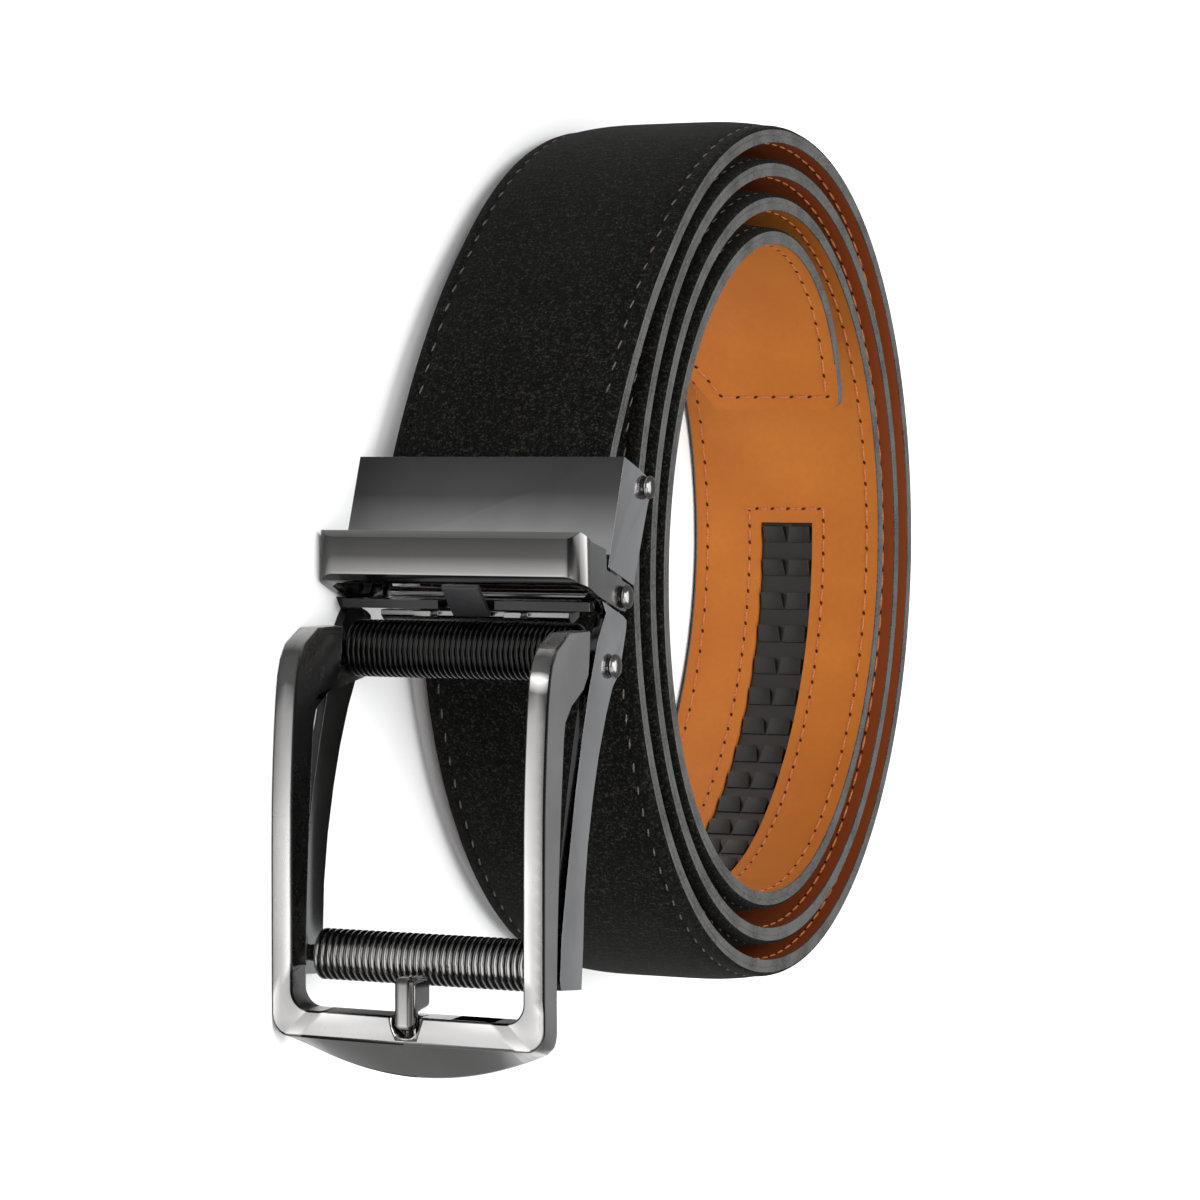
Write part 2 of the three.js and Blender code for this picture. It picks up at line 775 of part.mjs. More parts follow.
// Front frame: side outline crossed with the front view, tongues on the frame pins, slot for the prong
function frontFrameGeometry() {
  const { down, out } = placed(FRAME_PIN);
  const front = farthest(FRONT_EDGE, 1);
  const near = HALF_BUCKLE - 2 * SHEET - GAP;
  const far = HALF_BUCKLE - SHEET - GAP;
  const slotHalf = PRONG_WIDTH / 2 + PRONG_PLAY;
  const slotEnd = SLOT_BOTTOM * PERCENT;
  const slot = new THREE.Shape();
  slot.moveTo(slotHalf, WINDOW_BOTTOM * PERCENT - SHEET);
  slot.lineTo(slotHalf, slotEnd);
  slot.absarc(0, slotEnd, slotHalf, 0, Math.PI);
  slot.lineTo(-slotHalf, WINDOW_BOTTOM * PERCENT - SHEET);
  const body = join(
    common(raise(outlined(FRONT_EDGE), 0, BUCKLE_WIDTH), face(frontOutline(), 0, front + SHEET)),
    ...raiseBoth(outlined(TONGUE_EDGE), near, far),
    ...raiseBoth(disc(down, out, EAR_RADIUS), near, far)
  );
  return cut(body, face(slot, front - SLOT_DEPTH, front + SHEET), bore(down, out));
}

// Short finger that reaches forward from the lower bar and rests in the frame's slot
function prongGeometry() {
  return raise(outlined(PRONG_EDGE), HALF_BUCKLE - PRONG_WIDTH / 2, HALF_BUCKLE + PRONG_WIDTH / 2);
}

// Pawl behind the cross plate, with two fingers that show under its lip
function pawlGeometry() {
  const fingers = [-1, 1].map((side) => {
    const middle = HALF_BUCKLE + (side * FINGER_SPREAD) / 2;
    return raise(outlined(FINGER_EDGE), middle - FINGER_WIDTH / 2, middle + FINGER_WIDTH / 2);
  });
  const body = raise(outlined(PAWL_EDGE), HALF_BUCKLE - PAWL_WIDTH / 2, HALF_BUCKLE + PAWL_WIDTH / 2);
  return join(body, ...fingers);
}

// Slanting leaf that releases the pawl, in the notch of the cross plate
function releaseTabGeometry() {
  return raise(outlined(TAB_EDGE), HALF_BUCKLE - TAB_WIDTH / 2, HALF_BUCKLE + TAB_WIDTH / 2);
}

function piece(name, geometry, finish) {
  const smooth = geometry.index ? geometry : mergeVertices(geometry);
  smooth.computeVertexNormals();
  const mesh = new THREE.Mesh(smooth, new THREE.MeshStandardMaterial(FINISHES[finish]));
  mesh.name = name;
  return mesh;
}

function build() {
  const belt = new THREE.Group();
  const stations = strapStations();
  belt.add(piece("strap_leather", loft(stations, leatherSection), "suede"));
  belt.add(piece("strap_lining", cut(loft(stations, liningSection), windowGeometry()), "lining"));
  belt.add(piece("toothed_track", trackGeometry(), "track"));

  const buckle = new THREE.Group();
  buckle.position.set(HINGE_DOWN, -HINGE_OUT, 0);
  belt.add(buckle);

  const clamp = new THREE.Group();
  clamp.rotation.z = -LEAN;
  clamp.add(piece("clamp_channel", clampGeometry(), "gunmetal"));
  clamp.add(piece("clamp_jaw", jawGeometry(), "gunmetal"));
  const upper = placed(CLAMP_PIN);
  clamp.add(piece("clamp_pin", pinGeometry(upper.down, upper.out, 0, BUCKLE_WIDTH), "steel"));
  buckle.add(clamp);

  buckle.add(piece("keeper_loop", keeperGeometry(), "gunmetal"));
  buckle.add(piece("hinge_pin", pinGeometry(0, 0, 0, BUCKLE_WIDTH), "steel"));
  buckle.add(piece("rear_frame", rearFrameGeometry(), "gunmetal"));
  buckle.add(piece("upper_ribbed_bar", ribbedBarGeometry(UPPER_BAR, UPPER_BAR_RADIUS), "gunmetal"));
  buckle.add(piece("lower_ribbed_bar", ribbedBarGeometry(LOWER_BAR, LOWER_BAR_RADIUS), "gunmetal"));
  buckle.add(piece("pawl", pawlGeometry(), "steel"));
  buckle.add(piece("release_tab", releaseTabGeometry(), "tab"));
  buckle.add(piece("front_frame", frontFrameGeometry(), "gunmetal"));
  buckle.add(piece("prong", prongGeometry(), "gunmetal"));

  const stub = 2 * SHEET + 2 * GAP;
  const { down, out } = placed(FRAME_PIN);
  buckle.add(piece("frame_pin_upper", pinGeometry(down, out, BUCKLE_WIDTH - stub, BUCKLE_WIDTH), "steel"));
  buckle.add(piece("frame_pin_lower", peg(down, out, PIN_RADIUS, 0, stub), "steel"));

  // Stand the part on the floor with its plan centred on the origin
  belt.updateMatrixWorld(true);
  const box = new THREE.Box3().setFromObject(belt, true);
  const centre = box.getCenter(new THREE.Vector3());
  belt.position.set(-centre.x, -centre.y, -box.min.z);
  return belt;
}

export default build();
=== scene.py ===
"""Coiled ratchet belt: suede strap with tan lining, toothed track and a dark automatic buckle.

Shapes are worked out in millimetres and scaled to metres when a piece is finished. The strap is
built from the coil's centre, the buckle from its clamp hinge: "down" is +X and "out" is -Y.
"""

from __future__ import annotations

import bisect
import json
import logging
import math
from collections.abc import Iterable, Sequence
from dataclasses import dataclass, field
from enum import Enum

import bmesh
import bpy
from mathutils import Matrix, Vector

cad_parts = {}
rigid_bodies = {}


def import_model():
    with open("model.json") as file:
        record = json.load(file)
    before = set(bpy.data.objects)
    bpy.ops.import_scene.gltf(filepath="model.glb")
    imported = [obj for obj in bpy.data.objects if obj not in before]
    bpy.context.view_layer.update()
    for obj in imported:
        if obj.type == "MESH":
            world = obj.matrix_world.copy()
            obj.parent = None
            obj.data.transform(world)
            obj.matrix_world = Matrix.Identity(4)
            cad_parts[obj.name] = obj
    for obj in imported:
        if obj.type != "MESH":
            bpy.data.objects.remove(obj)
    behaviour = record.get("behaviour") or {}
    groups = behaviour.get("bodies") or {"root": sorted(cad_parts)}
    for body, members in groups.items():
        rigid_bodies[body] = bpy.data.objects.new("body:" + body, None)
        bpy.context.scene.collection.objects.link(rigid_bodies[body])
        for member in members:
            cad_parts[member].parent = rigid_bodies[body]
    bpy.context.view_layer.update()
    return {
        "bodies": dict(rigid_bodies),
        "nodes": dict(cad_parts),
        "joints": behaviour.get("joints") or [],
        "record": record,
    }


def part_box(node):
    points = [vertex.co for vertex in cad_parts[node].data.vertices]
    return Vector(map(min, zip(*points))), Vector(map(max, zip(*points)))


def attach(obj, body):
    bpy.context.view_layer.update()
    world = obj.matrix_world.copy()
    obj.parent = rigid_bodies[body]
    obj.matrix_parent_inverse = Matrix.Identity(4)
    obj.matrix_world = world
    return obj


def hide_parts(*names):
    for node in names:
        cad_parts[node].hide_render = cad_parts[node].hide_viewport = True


log = logging.getLogger("belt")

MM = 0.001
SLACK = 0.01
AHEAD = Vector((0.0, -1.0, 0.0))
Pairs = Sequence[tuple[float, float]]
Triple = tuple[float, float, float]
Colour = tuple[float, float, float]
Material = bpy.types.Material
Object = bpy.types.Object
Vert = bmesh.types.BMVert
Edge = bmesh.types.BMEdge
Face = bmesh.types.BMFace


class Body(str, Enum):
    """Bodies that pieces ride on."""

    STRAP = "strap_and_clamp"
    FRAME = "buckle_frame"
    FRONT = "front"


class Side(Enum):
    """Faces of the strap."""

    OUTSIDE = "outside"
    LINING = "lining"


# Materials


class Signal:
    """A shader socket that can be used in arithmetic."""

    def __init__(self, shader: Shader, socket: bpy.types.NodeSocket) -> None:
        """Wraps a socket of a shader."""
        self.shader = shader
        self.socket = socket

    def _math(self, operation: str, first: object, second: object = 0.0) -> Signal:
        """Adds a Math node."""
        return self.shader.add("ShaderNodeMath", {"operation": operation}, {0: first, 1: second})

    def __add__(self, other: object) -> Signal:
        """Sum."""
        return self._math("ADD", self, other)

    __radd__ = __add__

    def __mul__(self, other: object) -> Signal:
        """Product."""
        return self._math("MULTIPLY", self, other)

    __rmul__ = __mul__

    def __sub__(self, other: object) -> Signal:
        """Difference."""
        return self._math("SUBTRACT", self, other)

    def __rsub__(self, other: object) -> Signal:
        """Difference from a number."""
        return self._math("SUBTRACT", other, self)

    def __abs__(self) -> Signal:
        """Absolute value."""
        return self._math("ABSOLUTE", self)

    def between(self, low: float, high: float) -> Signal:
        """Smooth step from 0 at low to 1 at high."""
        sockets = {"Value": self, "From Min": low, "From Max": high}
        return self.shader.add("ShaderNodeMapRange", {"interpolation_type": "SMOOTHSTEP"}, sockets)


class Shader:
    """A material's node tree."""

    def __init__(self, name: str) -> None:
        """Starts a material with a Principled surface."""
        self.material = bpy.data.materials.new(name)
        self.material.use_nodes = True
        self.tree = self.material.node_tree
        self.surface = self.tree.nodes["Principled BSDF"]

    def add(
        self, kind: str, settings: dict[str, object], sockets: dict[str | int, object], output: int = 0
    ) -> Signal:
        """Adds a node.

        Args:
            kind: node type.
            settings: properties to set first; a ramp's stops go under "stops".
            sockets: values or signals of its input sockets.
            output: which output to use.

        Returns:
            The node's output as a signal.
        """
        node = self.tree.nodes.new(kind)
        for key, value in settings.items():
            if key == "stops":
                for element, (place, colour) in zip(self._elements(node, len(value)), value):
                    element.position = place
                    element.color = (*colour, 1.0)
            else:
                setattr(node, key, value)
        for key, value in sockets.items():
            self._feed(node.inputs[key], value)
        return Signal(self, node.outputs[output])

    @staticmethod
    def _elements(node: bpy.types.Node, count: int) -> list[bpy.types.ColorRampElement]:
        """Gives a ramp as many stops as asked."""
        ramp = node.color_ramp
        while len(ramp.elements) < count:
            ramp.elements.new(0.5)
        return list(ramp.elements)

    def _feed(self, socket: bpy.types.NodeSocket, value: object) -> None:
        """Links or sets one socket."""
        if isinstance(value, Signal):
            self.tree.links.new(value.socket, socket)
        elif isinstance(value, tuple) and len(value) == 3 and len(socket.default_value) == 4:
            socket.default_value = (*value, 1.0)
        else:
            socket.default_value = value

    def place(self) -> Signal:
        """Object coordinates."""
        return self.add("ShaderNodeTexCoord", {}, {}, output=3)

    def along(self, name: str) -> Signal:
        """A number kept on the mesh, such as the distance along the strap."""
        return self.add("ShaderNodeAttribute", {"attribute_name": name}, {}, output=2)

    def noise(self, scale: float, detail: float = 2.0, rough: float = 0.5) -> Signal:
        """Fractal noise on the object, with a scale in cells per metre and about 0.5 on average."""
        sockets = {"Vector": self.place(), "Scale": scale, "Detail": detail, "Roughness": rough}
        return self.add("ShaderNodeTexNoise", {}, sockets)

    def ramp(self, signal: Signal, stops: Sequence[tuple[float, Colour]]) -> Signal:
        """Colours a signal."""
        return self.add("ShaderNodeValToRGB", {"stops": stops}, {"Fac": signal})

    def mix(self, factor: object, first: object, second: object) -> Signal:
        """Mixes two colours."""
        return self.add("ShaderNodeMix", {"data_type": "RGBA"}, {0: factor, 6: first, 7: second}, output=2)

    def bump(self, height: Signal, strength: float, depth: float) -> None:
        """Puts relief on the surface: its share that shows, and its depth in millimetres."""
        sockets = {"Strength": strength, "Distance": depth * MM, "Height": height}
        self.set(Normal=self.add("ShaderNodeBump", {}, sockets))

    def set(self, **sockets: object) -> None:
        """Sets or links the surface's sockets, with underscores for spaces in their names."""
        for name, value in sockets.items():
            self._feed(self.surface.inputs[name.replace("_", " ")], value)


@dataclass(frozen=True)
class Suede:
    """Napped black leather with a fine lighter speckle."""

    dark: Colour = (0.0008, 0.0008, 0.0006)
    light: Colour = (0.004, 0.0041, 0.0032)
    grain: Colour = (0.024, 0.0235, 0.0195)

    def make(self) -> Material:
        """Builds the material."""
        shader = Shader("suede")
        nap = shader.noise(1300, 4, rough=0.7)
        fibre = shader.noise(2600, 3, rough=0.8)
        cloud = shader.noise(60, 3)
        speck = (nap * 0.75 + cloud * 0.25).between(0.36, 0.72)
        tone = shader.mix(speck, self.dark, self.light)
        tone = shader.mix((fibre * 0.6 + nap * 0.4).between(0.5, 0.7), tone, self.grain)
        shader.set(Base_Color=tone, Roughness=0.75 + nap * 0.25)
        shader.set(Sheen_Weight=0.01, Sheen_Roughness=0.5, Specular_IOR_Level=0.05)
        shader.bump(nap * 0.5 + fibre * 0.5, 0.8, 0.2)
        return shader.material


@dataclass(frozen=True)
class LiningLeather:
    """Smooth tan leather with faint grain and cloudy dye, deeper at its rims, with painted shade darkening
    the outer turns.
    """

    tan: Colour = (0.43, 0.142, 0.0135)
    deep: Colour = (0.33, 0.092, 0.006)
    # Painted shade for the outer turns, which lie shadowed between other layers.
    turn_shade: Colour = (0.20, 0.038, 0.006)
    rim: tuple[float, float] = (15.0, 17.4)
    outer_turns: tuple[float, float] = (800.0, 960.0)

    def make(self) -> Material:
        """Builds the material."""
        shader = Shader("lining_leather")
        cells = {"Vector": shader.place(), "Scale": 1700.0}
        grain = shader.add("ShaderNodeTexVoronoi", {"feature": "SMOOTH_F1"}, cells)
        fine = shader.noise(900, 4)
        cloud = shader.noise(35, 3)
        edge = abs(shader.along("across")).between(*self.rim)
        shade = (cloud * 0.9 + fine * 0.25).between(0.35, 0.95)
        tone = shader.mix(shade, self.deep, self.tan)
        tone = shader.mix(edge * 0.45, tone, self.deep)
        # Painted shade: the outer turns, before the distances in outer_turns, are darkened as if shadowed
        # between the layers.
        inner_turns = shader.along("along").between(*self.outer_turns)
        tone = shader.mix(1 - inner_turns, tone, self.turn_shade)
        shader.set(Base_Color=tone, Roughness=0.46 + fine * 0.2, Specular_IOR_Level=0.28)
        shader.bump(grain * 0.6 + fine * 0.4, 0.16, 0.05)
        return shader.material


@dataclass(frozen=True)
class EdgePaint:
    """Grey-green paint on the strap's cut edges, slightly uneven."""

    grey: Colour = (0.062, 0.062, 0.058)
    dark: Colour = (0.011, 0.011, 0.01)

    def make(self) -> Material:
        """Builds the material."""
        shader = Shader("edge_paint")
        fine = shader.noise(2600, 3)
        cloud = shader.noise(140, 2)
        shader.set(Base_Color=shader.mix((fine * 0.6 + cloud * 0.4).between(0.3, 0.62), self.dark, self.grey))
        shader.set(Roughness=0.45 + fine * 0.25)
        shader.bump(fine, 0.3, 0.06)
        return shader.material


@dataclass(frozen=True)
class Thread:
    """Twisted sewing thread."""

    name: str
    colour: Colour
    shadow: Colour

    def make(self) -> Material:
        """Builds the material."""
        shader = Shader(self.name)
        twist = shader.noise(5200, 2)
        shader.set(Base_Color=shader.mix(twist.between(0.35, 0.6), self.shadow, self.colour), Roughness=0.75)
        shader.set(Specular_IOR_Level=0.1)
        shader.bump(twist, 0.5, 0.05)
        return shader.material


@dataclass(frozen=True)
class Moulded:
    """Charcoal moulded plastic, satin on its crests."""

    colour: Colour = (0.0026, 0.0024, 0.0018)
    lighter: float = 2.1

    def make(self) -> Material:
        """Builds the material."""
        shader = Shader("moulded_plastic")
        fine = shader.noise(3200, 3)
        cloud = shader.noise(120, 2)
        worn = tuple(self.lighter * c for c in self.colour)
        shader.set(Base_Color=shader.mix(cloud.between(0.3, 0.8), self.colour, worn))
        shader.set(Roughness=0.36 + fine * 0.2, Specular_IOR_Level=0.4)
        shader.bump(fine, 0.2, 0.04)
        return shader.material


@dataclass(frozen=True)
class Plating:
    """Metal plating whose colour paints reflections and shade: brighter where a surface faces the piece's
    front and darker round its edges, with faint handling marks.

    The tones are (how squarely the surface faces the piece's own front, grey level).
    """

    name: str
    tones: Pairs
    roughness: float = 0.13
    marks: float = 0.05
    warmth: float = 0.02
    dulling: float = 0.16

    def make(self) -> Material:
        """Builds the material."""
        shader = Shader(self.name)
        hair = shader.noise(300, 3, rough=0.6)
        haze = shader.noise(70, 3)
        stops = [(place, (g, g * (1 - self.warmth), g * (1 - 2 * self.warmth))) for place, g in self.tones]
        # Painted light: the colour follows how squarely the surface faces the piece's front, standing in for
        # reflections and shade.
        tone = shader.ramp(shader.along("front"), stops)
        duller = shader.mix(self.dulling, tone, (0.0, 0.0, 0.0))
        shader.set(Base_Color=shader.mix(haze.between(0.35, 0.7), duller, tone), Metallic=1.0)
        shader.set(Roughness=self.roughness + hair * self.marks + haze * 0.03)
        shader.bump(hair, 0.006, 0.03)
        return shader.material


@dataclass(frozen=True)
class Enamel:
    """Black satin paint."""

    colour: Colour = (0.02, 0.02, 0.021)
    lighter: float = 1.8

    def make(self) -> Material:
        """Builds the material."""
        shader = Shader("black_enamel")
        fine = shader.noise(1800, 3)
        shader.set(Base_Color=shader.mix(fine, self.colour, tuple(self.lighter * c for c in self.colour)))
        shader.set(Roughness=0.3 + fine * 0.2)
        shader.bump(fine, 0.1, 0.03)
        return shader.material


class Finishes:
    """Every finish, built once."""

    def __init__(self) -> None:
        """Builds the materials."""
        self.suede = Suede().make()
        self.lining = LiningLeather().make()
        self.edge = EdgePaint().make()
        self.suede_thread = Thread("suede_thread", (0.13, 0.105, 0.085), (0.03, 0.025, 0.02)).make()
        self.lining_thread = Thread("lining_thread", (0.47, 0.165, 0.06), (0.27, 0.07, 0.022)).make()
        # Painted shade: dark sunk blobs on the lining stand for the shadow inside the needle holes.
        self.hole_shade = Thread("hole_shade", (0.075, 0.012, 0.003), (0.03, 0.005, 0.002)).make()
        self.track = Moulded().make()
        # The plating ramps paint reflections and shade by facing: lit and shaded tones stand in for the same
        # black nickel on different pieces.
        faced = ((0.0, 0.52), (0.3, 0.3), (0.55, 0.045), (0.82, 0.07), (0.92, 0.5), (0.98, 0.9))
        self.nickel = Plating("polished_nickel", faced, 0.24, 0.03).make()
        # Painted light on the clamp: bright on its sides, dark where it faces front.
        clamp = ((0.0, 0.75), (0.4, 0.3), (0.64, 0.018), (0.76, 0.04), (0.85, 0.16))
        self.clamp_painted_light = Plating("clamp_nickel_painted_light", clamp, 0.12, 0.02, 0.0).make()
        # Painted highlight: a bright band on the keeper where its facing value is near 0.87.
        lit = (
            (0.0, 0.4), (0.4, 0.1), (0.58, 0.03), (0.72, 0.07),
            (0.8, 0.25), (0.87, 0.95), (0.93, 0.3), (0.97, 0.04),
        )
        self.keeper = Plating("keeper_nickel", lit, 0.14, 0.03).make()
        arms = ((0.0, 0.75), (0.4, 0.3), (0.64, 0.02), (1.0, 0.035))
        self.arms = Plating("arm_nickel", arms, 0.12, 0.02, 0.0).make()
        # Painted highlight where the prong faces squarely front and on its sides, dark between.
        finger = ((0.0, 0.4), (0.5, 0.03), (0.85, 0.05), (0.94, 0.16), (1.0, 0.45))
        self.finger = Plating("prong_nickel", finger, 0.14, 0.03).make()
        # Painted shade and light: the upper roller gets a shaded copy and the lower one a lit copy of the
        # same ribbed nickel.
        shaded = ((0.0, 0.006), (0.7, 0.01), (1.0, 0.035))
        self.shaded_bar = Plating("shaded_ribbed_nickel", shaded, 0.16, 0.03).make()
        ribbed = ((0.0, 0.01), (0.6, 0.025), (0.82, 0.13), (1.0, 0.5))
        self.lit_bar = Plating("ribbed_nickel", ribbed, 0.16, 0.03).make()
        self.steel = Plating("pin_steel", ((0.0, 0.16), (1.0, 0.22)), 0.16, 0.06).make()
        self.enamel = Enamel().make()


# Building meshes


class Piece:
    """A mesh under construction, in millimetres from a given place."""

    # Painted shade on the underside: the facing value it gets, and the downward slant and span over which it
    # comes in.
    under_tone: float = 0.62
    under_from: float = 0.15
    under_span: float = 0.6

    def __init__(self, name: str, place: Vector) -> None:
        """Starts an empty piece whose zero lies at a place, in metres."""
        self.name = name
        self.place = place
        self.bm = bmesh.new()

    def keep(self, name: str) -> bmesh.types.BMLayerItem:
        """A number kept on each vertex."""
        layer = self.bm.verts.layers.float.get(name)
        return layer or self.bm.verts.layers.float.new(name)

    def face(self, points: Iterable[Vector]) -> Face:
        """A flat face from a few points."""
        return self.bm.faces.new([self.bm.verts.new(p) for p in points])

    def extrude(self, part: list[Face] | list[Edge]) -> tuple[list[Vert], list[Face] | list[Edge]]:
        """Extrudes a face or a row of edges in place.

        Args:
            part: the one face, or the edges.

        Returns:
            The new vertices, and the new face or edges.
        """
        kind = type(part[0])
        if kind is Face:
            made = bmesh.ops.extrude_face_region(self.bm, geom=part)["geom"]
        else:
            made = bmesh.ops.extrude_edge_only(self.bm, edges=part)["geom"]
        ends = [item for item in made if isinstance(item, kind)]
        return [v for v in made if isinstance(v, Vert)], ends[: len(part)]

    def raise_face(self, face: Face, by: Vector) -> None:
        """Extrudes a face by a vector."""
        verts, _ = self.extrude([face])
        bmesh.ops.translate(self.bm, verts=verts, vec=by)

    def plate(self, outline: Pairs, low: float, high: float) -> None:
        """Adds a plate between two heights, cut to a side-view outline of points (down, out)."""
        face = self.face(Vector((down, -out, low)) for down, out in outline)
        self.raise_face(face, Vector((0, 0, high - low)))

    def turned(self, profile: Pairs, spot: tuple[float, float], steps: int = 32) -> None:
        """Adds a profile of points (radius, height), turned on an upright axis at (down, out)."""
        down, out = spot
        verts = [self.bm.verts.new((down + r, -out, z)) for r, z in profile]
        edges = [self.bm.edges.new(pair) for pair in zip(verts, verts[1:])]
        centre = Vector((down, -out, 0))
        bmesh.ops.spin(
            self.bm, geom=verts + edges, cent=centre, axis=(0, 0, 1),
            angle=math.tau, steps=steps, use_merge=True,
        )
        bmesh.ops.remove_doubles(self.bm, verts=self.bm.verts, dist=1e-5)

    def face_front(self, front: Vector = AHEAD, fade: float = 0.0) -> None:
        """Keeps how squarely each vertex faces a direction, as "front", which the plating's painted
        reflections and shade follow.

        The underside gets painted shade: it counts as turned half away.

        Args:
            front: the piece's own front.
            fade: how much the facing value, and with it the painted light and shade, drops towards the
                piece's upper end.
        """
        layer = self.keep("front")
        bmesh.ops.recalc_face_normals(self.bm, faces=self.bm.faces)
        self.bm.normal_update()
        low = min(v.co.x for v in self.bm.verts)
        high = max(v.co.x for v in self.bm.verts)
        for vert in self.bm.verts:
            square = max(vert.normal.dot(front.normalized()), 0.0)
            # Painted shade on the underside, and painted light shifted along the piece by fade.
            under = self.under_tone * min(max(-vert.normal.z - self.under_from, 0.0) / self.under_span, 1.0)
            vert[layer] = max(square, under) * (1 - fade * (high - vert.co.x) / (high - low))

    def take(self, other: Piece) -> None:
        """Adds another piece's mesh, made from the same place, to this one and frees the other."""
        mesh = bpy.data.meshes.new("taken")
        other.bm.to_mesh(mesh)
        other.bm.free()
        self.bm.from_mesh(mesh)
        bpy.data.meshes.remove(mesh)

    def bevel_sharp(self, width: float, segments: int = 3, above: float = 25.0) -> None:
        """Rounds every edge whose faces meet at more than an angle, in degrees."""
        limit = math.radians(above)
        edges = [e for e in self.bm.edges if len(e.link_faces) == 2 and e.calc_face_angle(0.0) > limit]
        self.bevel(edges, width, segments)

    def bevel(self, edges: list[Edge], width: float, segments: int) -> None:
        """Rounds some edges."""
        bmesh.ops.bevel(
            self.bm, geom=edges, offset=width, offset_type="OFFSET", affect="EDGES",
            segments=segments, profile=0.5, material=-1, clamp_overlap=True,
        )

    def copy_of(self, node: Object) -> None:
        """Starts from a copy of a solid, in millimetres from this piece's place."""
        bm = self.bm
        bm.from_mesh(node.data)
        bmesh.ops.translate(bm, verts=bm.verts, vec=-self.place)
        bmesh.ops.scale(bm, verts=bm.verts, vec=(1 / MM,) * 3)
        bmesh.ops.remove_doubles(bm, verts=bm.verts, dist=0.01)
        angle = math.radians(1.5)
        bmesh.ops.dissolve_limit(bm, angle_limit=angle, verts=bm.verts, edges=bm.edges)

    def finish(
        self, *materials: Material, outward: bool = True, flat: float = 40.0
    ) -> Object:
        """Turns the piece into an object in metres.

        Args:
            materials: the materials, in the order of the faces' indices.
            outward: whether to recalculate the faces' sides.
            flat: edges sharper than this many degrees stay sharp.

        Returns:
            The object.
        """
        if outward:
            bmesh.ops.recalc_face_normals(self.bm, faces=self.bm.faces)
        bmesh.ops.scale(self.bm, verts=self.bm.verts, vec=(MM,) * 3)
        bmesh.ops.translate(self.bm, verts=self.bm.verts, vec=self.place)
        mesh = bpy.data.meshes.new(self.name)
        self.bm.to_mesh(mesh)
        self.bm.free()
        for material in materials:
            mesh.materials.append(material)
        mesh.shade_smooth()
        mesh.set_sharp_from_angle(angle=math.radians(flat))
        made = bpy.data.objects.new(self.name, mesh)
        bpy.context.scene.collection.objects.link(made)
        log.info("%s: %d faces", self.name, len(mesh.polygons))
        return made


def smooth(rows: Pairs, x: float) -> float:
    """Smooth value at x between rows of (place, value), with slopes averaged from their neighbours."""
    i = 0
    while i < len(rows) - 2 and rows[i + 1][0] < x:
        i += 1

    def slope(k: int) -> float:
        """Mean slope at a row."""
        a, b = rows[max(k - 1, 0)], rows[min(k + 1, len(rows) - 1)]
        return (b[1] - a[1]) / (b[0] - a[0])

    (x0, y0), (x1, y1) = rows[i], rows[i + 1]
    span = x1 - x0
    t = (x - x0) / span
    t2, t3 = t * t, t * t * t
    start = (2 * t3 - 3 * t2 + 1) * y0 + (t3 - 2 * t2 + t) * span * slope(i)
    return start + (3 * t2 - 2 * t3) * y1 + (t3 - t2) * span * slope(i + 1)


# Strap


